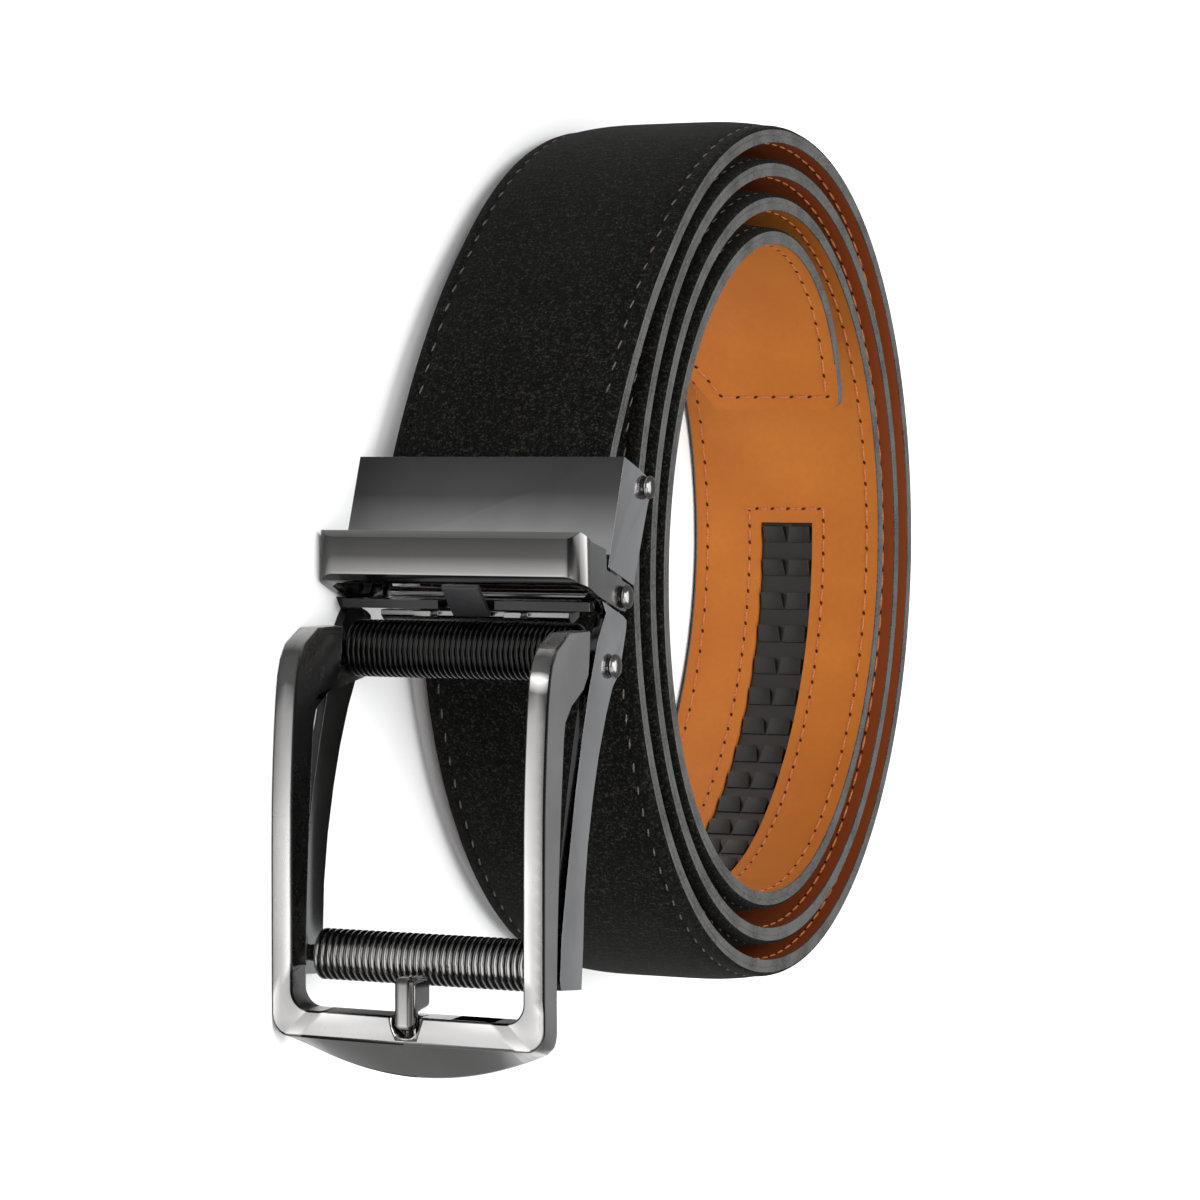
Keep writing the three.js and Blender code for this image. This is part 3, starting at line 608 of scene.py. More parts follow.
@dataclass
class Coil:
    """The line that the strap's lining follows, from the clamp round to the tip."""

    hinge: Vector
    width: float = 35.0
    lining: float = 1.2
    thickness: float = 3.7
    radius: float = 67.9
    pitch: float = 5.5
    hinge_down: float = 4.3
    hinge_out: float = 82.7
    buckle_width: float = 42.4
    lean: float = math.radians(20.5)
    clamped: tuple[float, float, float] = (5.0, 19.2, 1.51)
    steps: int = 48
    path: Pairs = (
        (0.053, -1.36), (0.07, -1.02), (0.092, -0.68), (0.125, -0.31), (0.25, 0.16), (0.375, 0.02),
        (0.5, 0.13), (0.625, 0.24), (0.75, 0.2), (0.875, 0.02), (1.0, 0.12), (1.125, 0.62), (1.25, 1.18),
        (1.375, 1.37), (1.5, 1.56), (1.625, 1.44), (1.75, 1.15), (1.875, 1.04), (2.0, 1.36), (2.125, 1.73),
        (2.25, 2.2), (2.375, 2.82), (2.5, 3.28), (2.625, 3.12), (2.75, 2.28), (2.875, 1.93), (3.0, 2.38),
        (3.125, 2.76), (3.25, 3.24), (3.32, 4.15), (3.385, 5.8),
    )
    points: list[Vector] = field(default_factory=list)
    marks: list[float] = field(default_factory=list)

    def __post_init__(self) -> None:
        """Works out the line."""
        knots = self._clamped_knots() + self._coiled_knots()
        self.points = self._curve(knots)
        self.marks = [0.0]
        for a, b in zip(self.points, self.points[1:]):
            self.marks.append(self.marks[-1] + (b - a).length)

    @property
    def length(self) -> float:
        """Length of the lining."""
        return self.marks[-1]

    @property
    def centre(self) -> Vector:
        """The coil's centre on the floor, in metres."""
        return Vector((self.hinge.x - self.hinge_down * MM, self.hinge.y + self.hinge_out * MM, 0.0))

    def _clamped_knots(self) -> list[Vector]:
        """Straight start inside the clamp."""
        end, top, front = self.clamped
        knots = []
        for share in (0.0, 0.35, 0.7, 1.0):
            above = end + share * (top - end)
            down = self.hinge_down - above * math.cos(self.lean) - front * math.sin(self.lean)
            out = self.hinge_out - above * math.sin(self.lean) + front * math.cos(self.lean)
            knots.append(Vector((down, -out)))
        return knots

    def _coiled_knots(self) -> list[Vector]:
        """The turns, in even steps."""
        first, last = self.path[0][0], self.path[-1][0]
        count = round((last - first) * self.steps)
        knots = []
        for i in range(count + 1):
            turn = first + (last - first) * i / count
            radius = self.radius - self.pitch * smooth(self.path, turn)
            angle = 2 * math.pi * turn
            knots.append(Vector((-radius * math.sin(angle), -radius * math.cos(angle))))
        return knots

    @staticmethod
    def _curve(knots: list[Vector]) -> list[Vector]:
        """Centripetal spline through the knots, in sixteenths of each span."""
        ends = [2 * knots[0] - knots[1], *knots, 2 * knots[-1] - knots[-2]]
        line = []
        for i in range(len(knots) - 1):
            p0, p1, p2, p3 = ends[i : i + 4]
            d0, d1, d2 = ((b - a).length ** 0.5 for a, b in ((p0, p1), (p1, p2), (p2, p3)))
            t1 = ((p1 - p0) / d0 - (p2 - p0) / (d0 + d1) + (p2 - p1) / d1) * d1
            t2 = ((p2 - p1) / d1 - (p3 - p1) / (d1 + d2) + (p3 - p2) / d2) * d1
            for step in range(16):
                t = step / 16
                a = 2 * t**3 - 3 * t**2 + 1
                b = t**3 - 2 * t**2 + t
                line.append(a * p1 + b * t1 + (3 * t**2 - 2 * t**3) * p2 + (t**3 - t**2) * t2)
        line.append(knots[-1].copy())
        return line

    def at(self, distance: float) -> Matrix:
        """The strap's own axes at a distance from its clamped end.

        Args:
            distance: millimetres along the lining.

        Returns:
            Axes: across the strap, outward, and along it towards the tip.
        """
        distance = min(max(distance, 0.0), self.length)
        high = min(bisect.bisect_right(self.marks, distance), len(self.marks) - 1)
        low = high - 1
        share = (distance - self.marks[low]) / (self.marks[high] - self.marks[low])
        spot = self.points[low].lerp(self.points[high], share)
        before = self.points[max(low - 2, 0)]
        after = self.points[min(high + 2, len(self.points) - 1)]
        along = (after - before).normalized()
        back = self.radius + self.thickness
        rise = min(max((back - spot.y) / (back + self.hinge_out), 0.0), 1.0)
        height = self.width / 2 + rise * (self.buckle_width - self.width) / 2
        axes = Matrix.Identity(4)
        axes.col[0] = (0, 0, 1, 0)
        axes.col[1] = (-along.y, along.x, 0, 0)
        axes.col[2] = (along.x, along.y, 0, 0)
        axes.col[3] = (spot.x, spot.y, height, 1)
        return axes


@dataclass
class Strap:
    """The strap: outer suede, lining with its window, toothed track and all stitching.

    The tables of halves say (across, height) from the middle outwards, in millimetres. A stitch has
    its half width, half height and half length, the last as a share of the pitch.
    """

    coil: Coil
    finishes: Finishes
    step: float = 2.2
    nearest: float = 0.4
    cut_width: float = 12.5
    cut_length: float = 16.0
    tip_round: float = 1.8
    tip_rings: tuple[float, ...] = (
        16.0, 14.0, 12.0, 10.0, 8.0, 6.0, 4.0, 2.8, 1.8, 1.4, 1.0, 0.7, 0.45, 0.25, 0.1, 0.0,
    )
    glue: float = 0.02
    leather_half: Pairs = (
        (17.47, 0.0), (17.5, 0.05), (17.5, 0.85), (17.36, 1.16), (16.9, 1.42), (16.3, 1.56),
        (15.75, 1.6), (15.45, 1.53), (15.2, 1.46), (14.95, 1.55), (14.6, 1.72), (13.5, 1.93),
        (12.0, 2.13), (10.0, 2.33), (7.5, 2.44), (4.0, 2.48),
    )
    leather_rim: float = 17.45
    lining_half: tuple[float, ...] = (17.5, 17.25, 16.4, 15.2, 13.0, 10.0, 7.0)
    lining_rim: float = 17.36
    lining_edge: float = 17.4
    lining_round: float = 0.2
    lining_corner: float = 0.9
    window: float = 9.8
    track_start: float = 297.5
    track_length: float = 231.0
    track_gap: float = 0.15
    track_base: tuple[float, float] = (0.62, 1.15)
    track_step: float = 2.0
    tooth: float = 6.0
    tooth_first: float = 0.45
    tooth_length: float = 3.0
    tooth_foot: float = 0.8
    tooth_rise: tuple[float, float] = (1.35, 0.45)
    tooth_side: float = 0.35
    tooth_round: float = 0.14
    notch: tuple[float, float] = (0.7, 0.12)
    edge_inset: float = 2.3
    clamp_end: float = 26.0
    tip_run: float = 40.0
    edge_pitch: float = 3.85
    tip_pitch: float = 3.3
    box_pitch: float = 2.95
    box_gap: tuple[float, float] = (2.15, 2.5)
    sewn_together: int = 24
    crown_seat: float = 1.5
    outside_stitch: Triple = (0.17, 0.15, 0.22)
    outside_slant: float = math.radians(9)
    lining_stitch: Triple = (0.25, 0.17, 0.4)
    hole_size: Triple = (0.28, 0.12, 0.42)
    hole_slant: float = 0.35

    def narrowing(self, distance: float) -> tuple[float, float]:
        """Widths that the tip takes off the low and the high side at a distance."""
        back = max(self.coil.length - distance, 0.0)
        low = self.cut_width * max(1 - back / self.cut_length, 0.0)
        left = max(self.tip_round - back, 0.0)
        high = self.tip_round - math.sqrt(self.tip_round**2 - left**2)
        return low, high

    def ring(self, distance: float) -> Matrix:
        """Axes at a distance, narrowed at the tip."""
        low, high = self.narrowing(distance)
        scale = (self.coil.width - low - high) / self.coil.width
        shift = Matrix.Translation(((low - high) / 2, 0, 0)) @ Matrix.Diagonal((scale, 1, 1, 1))
        return self.coil.at(distance) @ shift

    def stations(self, extra: Sequence[float] = ()) -> list[float]:
        """Distances of the strap's rings, closer at the tip."""
        end = self.coil.length
        count = round((end - self.cut_length) / self.step)
        even = [(end - self.cut_length) * i / count for i in range(count)]
        near = [d for d in even if all(abs(d - e) > self.nearest for e in extra)]
        return sorted([*near, *(end - back for back in self.tip_rings), *extra])

    def swept(self, name: str, section: Pairs, stations: Sequence[float], closed: bool = True) -> Piece:
        """Sweeps a section along the strap.

        Args:
            name: the piece's name.
            section: points (across, height over the lining side).
            stations: distances of its rings.
            closed: whether the section is a face or a row of edges.

        Returns:
            The piece, with "across" and "along" kept on its vertices.
        """
        piece = Piece(name, self.coil.centre)
        across, along = piece.keep("across"), piece.keep("along")
        rings = [self.ring(d) for d in stations]
        verts = [piece.bm.verts.new(rings[0] @ Vector((x, h, 0))) for x, h in section]
        for vert, (x, _) in zip(verts, section):
            vert[across] = x
            vert[along] = stations[0]
        if closed:
            part = [piece.bm.faces.new(verts)]
        else:
            part = [piece.bm.edges.new(pair) for pair in zip(verts, verts[1:])]
        for before, after, distance in zip(rings, rings[1:], stations[1:]):
            verts, part = piece.extrude(part)
            bmesh.ops.transform(piece.bm, matrix=after @ before.inverted(), verts=verts)
            for vert in verts:
                vert[along] = distance
        return piece

    def _paint_edges(self, piece: Piece, rim: float) -> None:
        """Gives the second finish to the faces past a rim and to the tip's end."""
        across, along = piece.keep("across"), piece.keep("along")
        for face in piece.bm.faces:
            side = sum(abs(v[across]) for v in face.verts) / len(face.verts) > rim
            face.material_index = int(side or min(v[along] for v in face.verts) > self.coil.length - SLACK)

    def leather(self) -> None:
        """Outer suede layer: crowned, with a pressed stitch line and painted edges."""
        base = self.coil.lining + self.glue
        section = [(x, base + h) for x, h in self.leather_half]
        section += [(-x, h) for x, h in reversed(section)]
        piece = self.swept("suede_strap", section, self.stations())
        self._paint_edges(piece, self.leather_rim)
        made = piece.finish(self.finishes.suede, self.finishes.edge)
        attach(made, Body.STRAP.value)
        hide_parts("strap_leather")

    def lining(self) -> None:
        """Tan inner layer with the window for the track."""
        start = self.coil.length - self.track_start
        end = start + self.track_length
        half = (*self.lining_half, self.window / 2)
        section = [(-x, 0.0) for x in half] + [(x, 0.0) for x in reversed(half)]
        piece = self.swept("tan_lining", section, self.stations((start, end)), closed=False)
        across, along = piece.keep("across"), piece.keep("along")
        hole = [
            f for f in piece.bm.faces
            if max(abs(v[across]) for v in f.verts) < self.window / 2 + SLACK
            and min(v[along] for v in f.verts) > start - SLACK
            and max(v[along] for v in f.verts) < end + SLACK
        ]
        bmesh.ops.delete(piece.bm, geom=hole, context="FACES")
        bmesh.ops.recalc_face_normals(piece.bm, faces=piece.bm.faces)
        open_side = set(piece.bm.verts)
        self._thicken(piece)
        across, along = piece.keep("across"), piece.keep("along")
        corner = [
            e for e in piece.bm.edges
            if e.verts[0] in open_side and e.verts[1] in open_side
            and all(abs(v[across]) > self.lining_edge or v[along] > self.coil.length - SLACK for v in e.verts)
            and e.calc_face_angle(0.0) > self.lining_corner
        ]
        piece.bevel(corner, self.lining_round, 3)
        self._paint_edges(piece, self.lining_rim)
        made = piece.finish(self.finishes.lining, self.finishes.edge)
        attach(made, Body.STRAP.value)
        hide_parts("strap_lining")

    def _thicken(self, piece: Piece) -> None:
        """Gives the lining its thickness, outwards from its open side."""
        face = next(iter(piece.bm.faces))
        outward = Vector(self.coil.at(0.0).col[1][:3])
        sign = 1.0 if face.normal.dot(outward) > 0 else -1.0
        bmesh.ops.solidify(piece.bm, geom=list(piece.bm.faces), thickness=-sign * self.coil.lining)

    def track(self) -> None:
        """Toothed track: a base strip with pairs of ramped blocks, split by a tapering notch."""
        start = self.coil.length - self.track_start + self.track_gap
        end = start + self.track_length - 2 * self.track_gap
        half = self.window / 2 - self.track_gap
        count = round((end - start) / self.track_step)
        stations = [start + (end - start) * i / count for i in range(count + 1)]
        low, high = self.track_base
        section = [(-half, low), (half, low), (half, high), (-half, high)]
        piece = self.swept("toothed_strip", section, stations)
        along = start + self.tooth_first
        while along + self.tooth < end:
            axes = self.coil.at(along)
            for side in (-1, 1):
                piece.take(self._block(axes, side, half))
            along += self.tooth
        made = piece.finish(self.finishes.track, flat=30.0)
        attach(made, Body.STRAP.value)
        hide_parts("toothed_track")

    def _block(self, axes: Matrix, side: int, half: float) -> Piece:
        """One ramped block of the track, on one side of the notch, as a piece of its own."""
        piece = Piece("block", self.coil.centre)
        outer = half - self.tooth_side
        length, foot = self.tooth_length, self.tooth_foot
        plan = [(self.notch[0], 0.0), (outer, 0.0), (outer, length), (self.notch[1], length)]
        points = [axes @ Vector((side * x, foot, z)) for x, z in plan]
        verts, _ = piece.extrude([piece.face(points if side > 0 else points[::-1])])
        back = axes.inverted()
        for vert in verts:
            local = back @ vert.co
            lift = self.tooth_rise[0] if local.z < length / 2 else self.tooth_rise[1]
            vert.co = axes @ Vector((local.x, foot - lift, local.z))
        tops = set(verts)
        edges = [e for e in piece.bm.edges if e.verts[0] in tops or e.verts[1] in tops]
        piece.bevel(edges, self.tooth_round, 2)
        return piece

    def outline_run(self, inset: float) -> list[tuple[float, float]]:
        """Line round the tip at an inset, as (across, distance), low side first."""
        end = self.coil.length
        side = self.coil.width / 2
        half = side - inset
        slope = self.cut_length / self.cut_width
        shift = inset * math.hypot(1.0, slope)
        turn = end - self.cut_length - shift + slope * inset
        foot = side - self.cut_width - (shift - inset) / slope
        start = end - self.tip_run
        return [(-half, start), (-half, turn), (-foot, end - inset), (half, end - inset), (half, start)]

    @staticmethod
    def walk(line: Pairs, pitch: float) -> list[Triple]:
        """Even places (across, distance, heading) along a line of points (across, distance)."""
        places = []
        spare = 0.0
        for (x0, d0), (x1, d1) in zip(line, line[1:]):
            span = math.hypot(x1 - x0, d1 - d0)
            heading = math.atan2(x1 - x0, d1 - d0)
            while spare <= span:
                share = spare / span
                places.append((x0 + (x1 - x0) * share, d0 + (d1 - d0) * share, heading))
                spare += pitch
            spare -= span
        return places

    def _seams(self, side: Side) -> list[tuple[Pairs, float]]:
        """The lines sewn on one face of the strap, each with its pitch."""
        inset = self.coil.width / 2 - self.edge_inset
        first = self.clamp_end if side is Side.OUTSIDE else 1.0
        tip = self.outline_run(self.edge_inset)
        lines = [
            ([(-inset, first), tip[0]], self.edge_pitch),
            ([(inset, first), tip[-1]], self.edge_pitch),
            (tip, self.tip_pitch),
        ]
        if side is Side.LINING:
            begin = self.coil.length - self.track_start - self.box_gap[1]
            stop = begin + self.track_length + 2 * self.box_gap[1]
            half = self.window / 2 + self.box_gap[0]
            box = [(-half, begin), (half, begin), (half, stop), (-half, stop), (-half, begin)]
            lines.append((box, self.box_pitch))
        return lines

    def stitching(self, side: Side) -> None:
        """Sewing on one face of the strap, with painted shade for the needle holes on the lining."""
        thread = Piece(f"{side.value}_stitches", self.coil.centre)
        holes = Piece(f"{side.value}_hole_shades", self.coil.centre)
        for line, pitch in self._seams(side):
            places = self.walk(line, pitch)
            for first in range(0, len(places), self.sewn_together):
                few_threads = Piece("threads", self.coil.centre)
                few_holes = Piece("holes", self.coil.centre)
                for place in places[first : first + self.sewn_together]:
                    self._stitch(few_threads, few_holes, side, place, pitch)
                thread.take(few_threads)
                holes.take(few_holes)
        if side is Side.OUTSIDE:
            holes.bm.free()
            made = [thread.finish(self.finishes.suede_thread, outward=False)]
        else:
            made = [
                thread.finish(self.finishes.lining_thread, outward=False),
                holes.finish(self.finishes.hole_shade, outward=False),
            ]
        for item in made:
            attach(item, Body.STRAP.value)

    def _stitch(self, thread: Piece, holes: Piece, side: Side, place: Triple, pitch: float) -> None:
        """One stitch with the painted shade of its needle hole.

        Args:
            thread: piece that takes the thread.
            holes: piece that takes the painted hole shade.
            side: face of the strap.
            place: (across, distance, heading).
            pitch: spacing of the stitches.
        """
        x, distance, heading = place
        if side is Side.OUTSIDE:
            height = self.coil.lining + self.crown_seat
            wide, thick, share = self.outside_stitch
            slant = heading + self.outside_slant
        else:
            height = -self.glue
            wide, thick, share = self.lining_stitch
            slant = heading
        axes = self.coil.at(distance) @ Matrix.Translation((x, height, 0)) @ Matrix.Rotation(slant, 4, "Y")
        spot = axes @ Matrix.Diagonal((wide, thick, share * pitch, 1))
        bmesh.ops.create_uvsphere(thread.bm, u_segments=6, v_segments=6, radius=1.0, matrix=spot)
        # The needle hole is painted shade: a dark blob set into the lining surface, not a cut hole.
        if side is Side.LINING:
            ahead = self.coil.at(distance + pitch / 2 * math.cos(heading))
            spot = ahead @ Matrix.Translation((x + pitch / 2 * math.sin(heading), 0, 0))
            turned = spot @ Matrix.Rotation(heading + self.hole_slant, 4, "Y")
            spot = turned @ Matrix.Diagonal((*self.hole_size, 1))
            bmesh.ops.create_uvsphere(holes.bm, u_segments=6, v_segments=4, radius=1.0, matrix=spot)

    def build(self) -> None:
        """Builds every piece of the strap."""
        self.leather()
        self.lining()
        self.track()
        self.stitching(Side.OUTSIDE)
        self.stitching(Side.LINING)


# Buckle


@dataclass
class FrontFrame:
    """The polished U-shaped frame with its bowed chin, and the prong.

    The face and back tables say how far out the frame's two sides lie at a distance down.
    """

    place: Vector
    finishes: Finishes
    half: float = 21.2
    rail: float = 3.3
    corner: float = 2.8
    window_end: float = 57.9
    face_end: float = 61.7
    chin_end: float = 67.2
    chin_corner: float = 62.4
    chin_out: float = 23.5
    outer_corner: tuple[float, float] = (2.6, 3.2)
    crown: float = 0.14
    rim: float = 0.1
    edge: float = 2.4
    least_edge: float = 0.6
    bevel: float = 1.1
    rail_share: float = 0.68
    corner_share: float = 0.35
    rings: tuple[int, int, int] = (26, 18, 22)
    face: Pairs = (
        (4.3, 19.2), (5.3, 22.0), (7.0, 24.3), (9.5, 25.7), (13.0, 26.5), (18.0, 27.1), (24.0, 27.6),
        (30.3, 27.9), (45.0, 28.0), (62.0, 28.0), (68.0, 28.0),
    )
    back: Pairs = (
        (4.3, 11.8), (9.4, 12.3), (11.9, 13.1), (13.0, 15.0), (14.0, 17.0), (15.2, 19.2), (16.8, 20.5),
        (22.0, 21.3), (34.0, 22.4), (46.0, 23.2), (57.9, 23.4), (67.5, 22.4),
    )
    tongue: Pairs = ((10.1, 4.4), (10.1, 9.4), (10.7, 15.9), (13.7, 15.9), (12.2, 4.4))
    tongues: tuple[float, float] = (-19.6, 18.3)
    tongue_sheet: float = 1.3
    pin: tuple[float, float] = (9.7, 4.4)
    pin_eye: float = 2.2
    slot: tuple[float, float] = (56.0, 58.8)
    slot_half: float = 2.2
    slot_floor: float = 26.3
    slot_depth: float = 4.0
    finger: Pairs = ((52.6, 22.7), (52.2, 28.95), (59.85, 28.95), (59.85, 26.4), (57.6, 26.4), (57.3, 22.7))
    finger_half: float = 1.6
    finger_bevel: float = 1.15

    def _bent(
        self, side: int, bend: float, half: float, end: float, corner: tuple[float, float]
    ) -> tuple[float, float]:
        """Point (across, down) round a corner and on to the middle of the frame's lower edge.

        Args:
            side: -1 on the low side, 1 on the high one.
            bend: 0 at the rail's end, 1 at the frame's middle.
            half: how far from the middle the rail lies.
            end: how far down the lower edge lies.
            corner: the corner's size across and down.
        """
        across, down = corner
        if bend < self.corner_share:
            angle = bend / self.corner_share * math.pi / 2
            return side * (half - across * (1 - math.cos(angle))), end - down * (1 - math.sin(angle))
        rest = 1 - (bend - self.corner_share) / (1 - self.corner_share)
        return side * (half - across) * rest, end

    def section(self, share: float) -> list[Vector]:
        """The frame's section at a share of the way round the U.

        Args:
            share: 0 at the top of the low rail, 1 at the top of the high one.

        Returns:
            Its corners: inner back, inner front, crown, crease, outer edge, outer back.
        """
        top = self.back[0][0]
        inner_half = self.half - self.rail
        side = -1 if share < 0.5 else 1
        way = 1 - abs(2 * share - 1)
        if way <= self.rail_share:
            down = way / self.rail_share
            inner = (side * inner_half, top + (self.window_end - self.corner - top) * down)
            outer = (side * self.half, top + (self.face_end - self.outer_corner[1] - top) * down)
            crease = outer
            edge = smooth(self.face, outer[1]) - self.edge
        else:
            bend = (way - self.rail_share) / (1 - self.rail_share)
            turn = min(bend / self.corner_share, 1.0)
            inner = self._bent(side, bend, inner_half, self.window_end, (self.corner, self.corner))
            crease = self._bent(side, bend, self.half, self.face_end, self.outer_corner)
            sideways = min(abs(crease[0]) / (self.half - 1.0), 1.0)
            low = self.chin_end - (self.chin_end - self.chin_corner) * sideways**2
            outer = (crease[0], crease[1] + (low - crease[1]) * min(turn * 1.4, 1.0))
            lift = min(turn * 1.2, 1.0)
            edge = (smooth(self.face, crease[1]) - self.edge) * (1 - lift) + self.chin_out * lift
        crown = ((inner[0] + crease[0]) / 2, (inner[1] + crease[1]) / 2)
        corners = [
            (inner, smooth(self.back, inner[1])),
            (inner, smooth(self.face, inner[1]) - self.rim),
            (crown, smooth(self.face, crown[1]) + self.crown),
            (crease, smooth(self.face, crease[1]) - self.rim),
            (outer, edge),
            (outer, min(smooth(self.back, outer[1]), edge - self.least_edge)),
        ]
        return [Vector((down, -out, self.half + across)) for (across, down), out in corners]

    def frame(self) -> None:
        """The U-shaped frame with its inner tongues."""
        piece = Piece("polished_frame", self.place)
        turned = self.rail_share + (1 - self.rail_share) * self.corner_share
        stops = zip((0.0, self.rail_share, turned), (self.rail_share, turned, 1.0), self.rings)
        ways = [low + (high - low) * i / count for low, high, count in stops for i in range(count)]
        shares = [way / 2 for way in ways] + [0.5] + [1 - way / 2 for way in reversed(ways)]
        part = [piece.face(self.section(0.0))]
        ring = list(part[0].verts)
        for share in shares[1:]:
            verts, part = piece.extrude(part)
            above = {edge.other_vert(vert): vert for vert in verts for edge in vert.link_edges}
            ring = [above[vert] for vert in ring]
            for vert, spot in zip(ring, self.section(share)):
                vert.co = spot
        bmesh.ops.recalc_face_normals(piece.bm, faces=piece.bm.faces)
        piece.bevel_sharp(self.bevel, 6, above=30.0)
        self._tongues(piece)
        piece.face_front()
        made = piece.finish(self.finishes.nickel, flat=35.0)
        self._slot(made)
        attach(made, Body.FRONT.value)
        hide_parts("front_frame")

    def _tongues(self, piece: Piece) -> None:
        """Inner strips that carry the frame on its pins."""
        down, out = self.pin
        angles = [a * math.pi / 12 for a in range(24)]
        eye = [(down + self.pin_eye * math.cos(a), out + self.pin_eye * math.sin(a)) for a in angles]
        for across in self.tongues:
            low = self.half + across
            high = low + self.tongue_sheet
            piece.plate(self.tongue, low, high)
            piece.plate(eye, low + SLACK, high - SLACK)

    def _slot(self, frame: Object) -> None:
        """Cuts the rest for the prong into the frame's lower edge."""
        cutter = Piece("slot_cutter", self.place)
        half = self.slot_half
        start, end = self.slot
        angles = [math.pi * i / 12 for i in range(1, 12)]
        shape = [(start, -half), (end, -half)]
        shape += [(end + half * math.sin(a), -half * math.cos(a)) for a in angles]
        shape += [(end, half), (start, half)]
        face = cutter.face(Vector((down, -self.slot_floor, self.half + across)) for down, across in shape)
        cutter.raise_face(face, Vector((0, -self.slot_depth, 0)))
        carve(frame, cutter.finish(self.finishes.nickel))

    def prong(self) -> None:
        """Short finger over the frame's lower edge."""
        piece = Piece("prong_finger", self.place)
        piece.plate(self.finger, self.half - self.finger_half, self.half + self.finger_half)
        piece.bevel_sharp(self.finger_bevel, 6, above=40.0)
        piece.face_front(Vector((0.25, -1.0, 0.0)))
        made = piece.finish(self.finishes.finger, flat=50.0)
        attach(made, Body.FRONT.value)
        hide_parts("prong")

    def build(self) -> None:
        """Builds the frame and its prong."""
        self.frame()
        self.prong()


def carve(target: Object, tool: Object) -> None:
    """Cuts one object with another closed one, and removes the tool."""
    cut = target.modifiers.new("cut", "BOOLEAN")
    cut.operation = "DIFFERENCE"
    cut.solver = "EXACT"
    cut.object = tool
    graph = bpy.context.evaluated_depsgraph_get()
    mesh = bpy.data.meshes.new_from_object(target.evaluated_get(graph))
    target.modifiers.remove(cut)
    old = target.data
    target.data = mesh
    bpy.data.meshes.remove(old)
    bpy.data.objects.remove(tool)


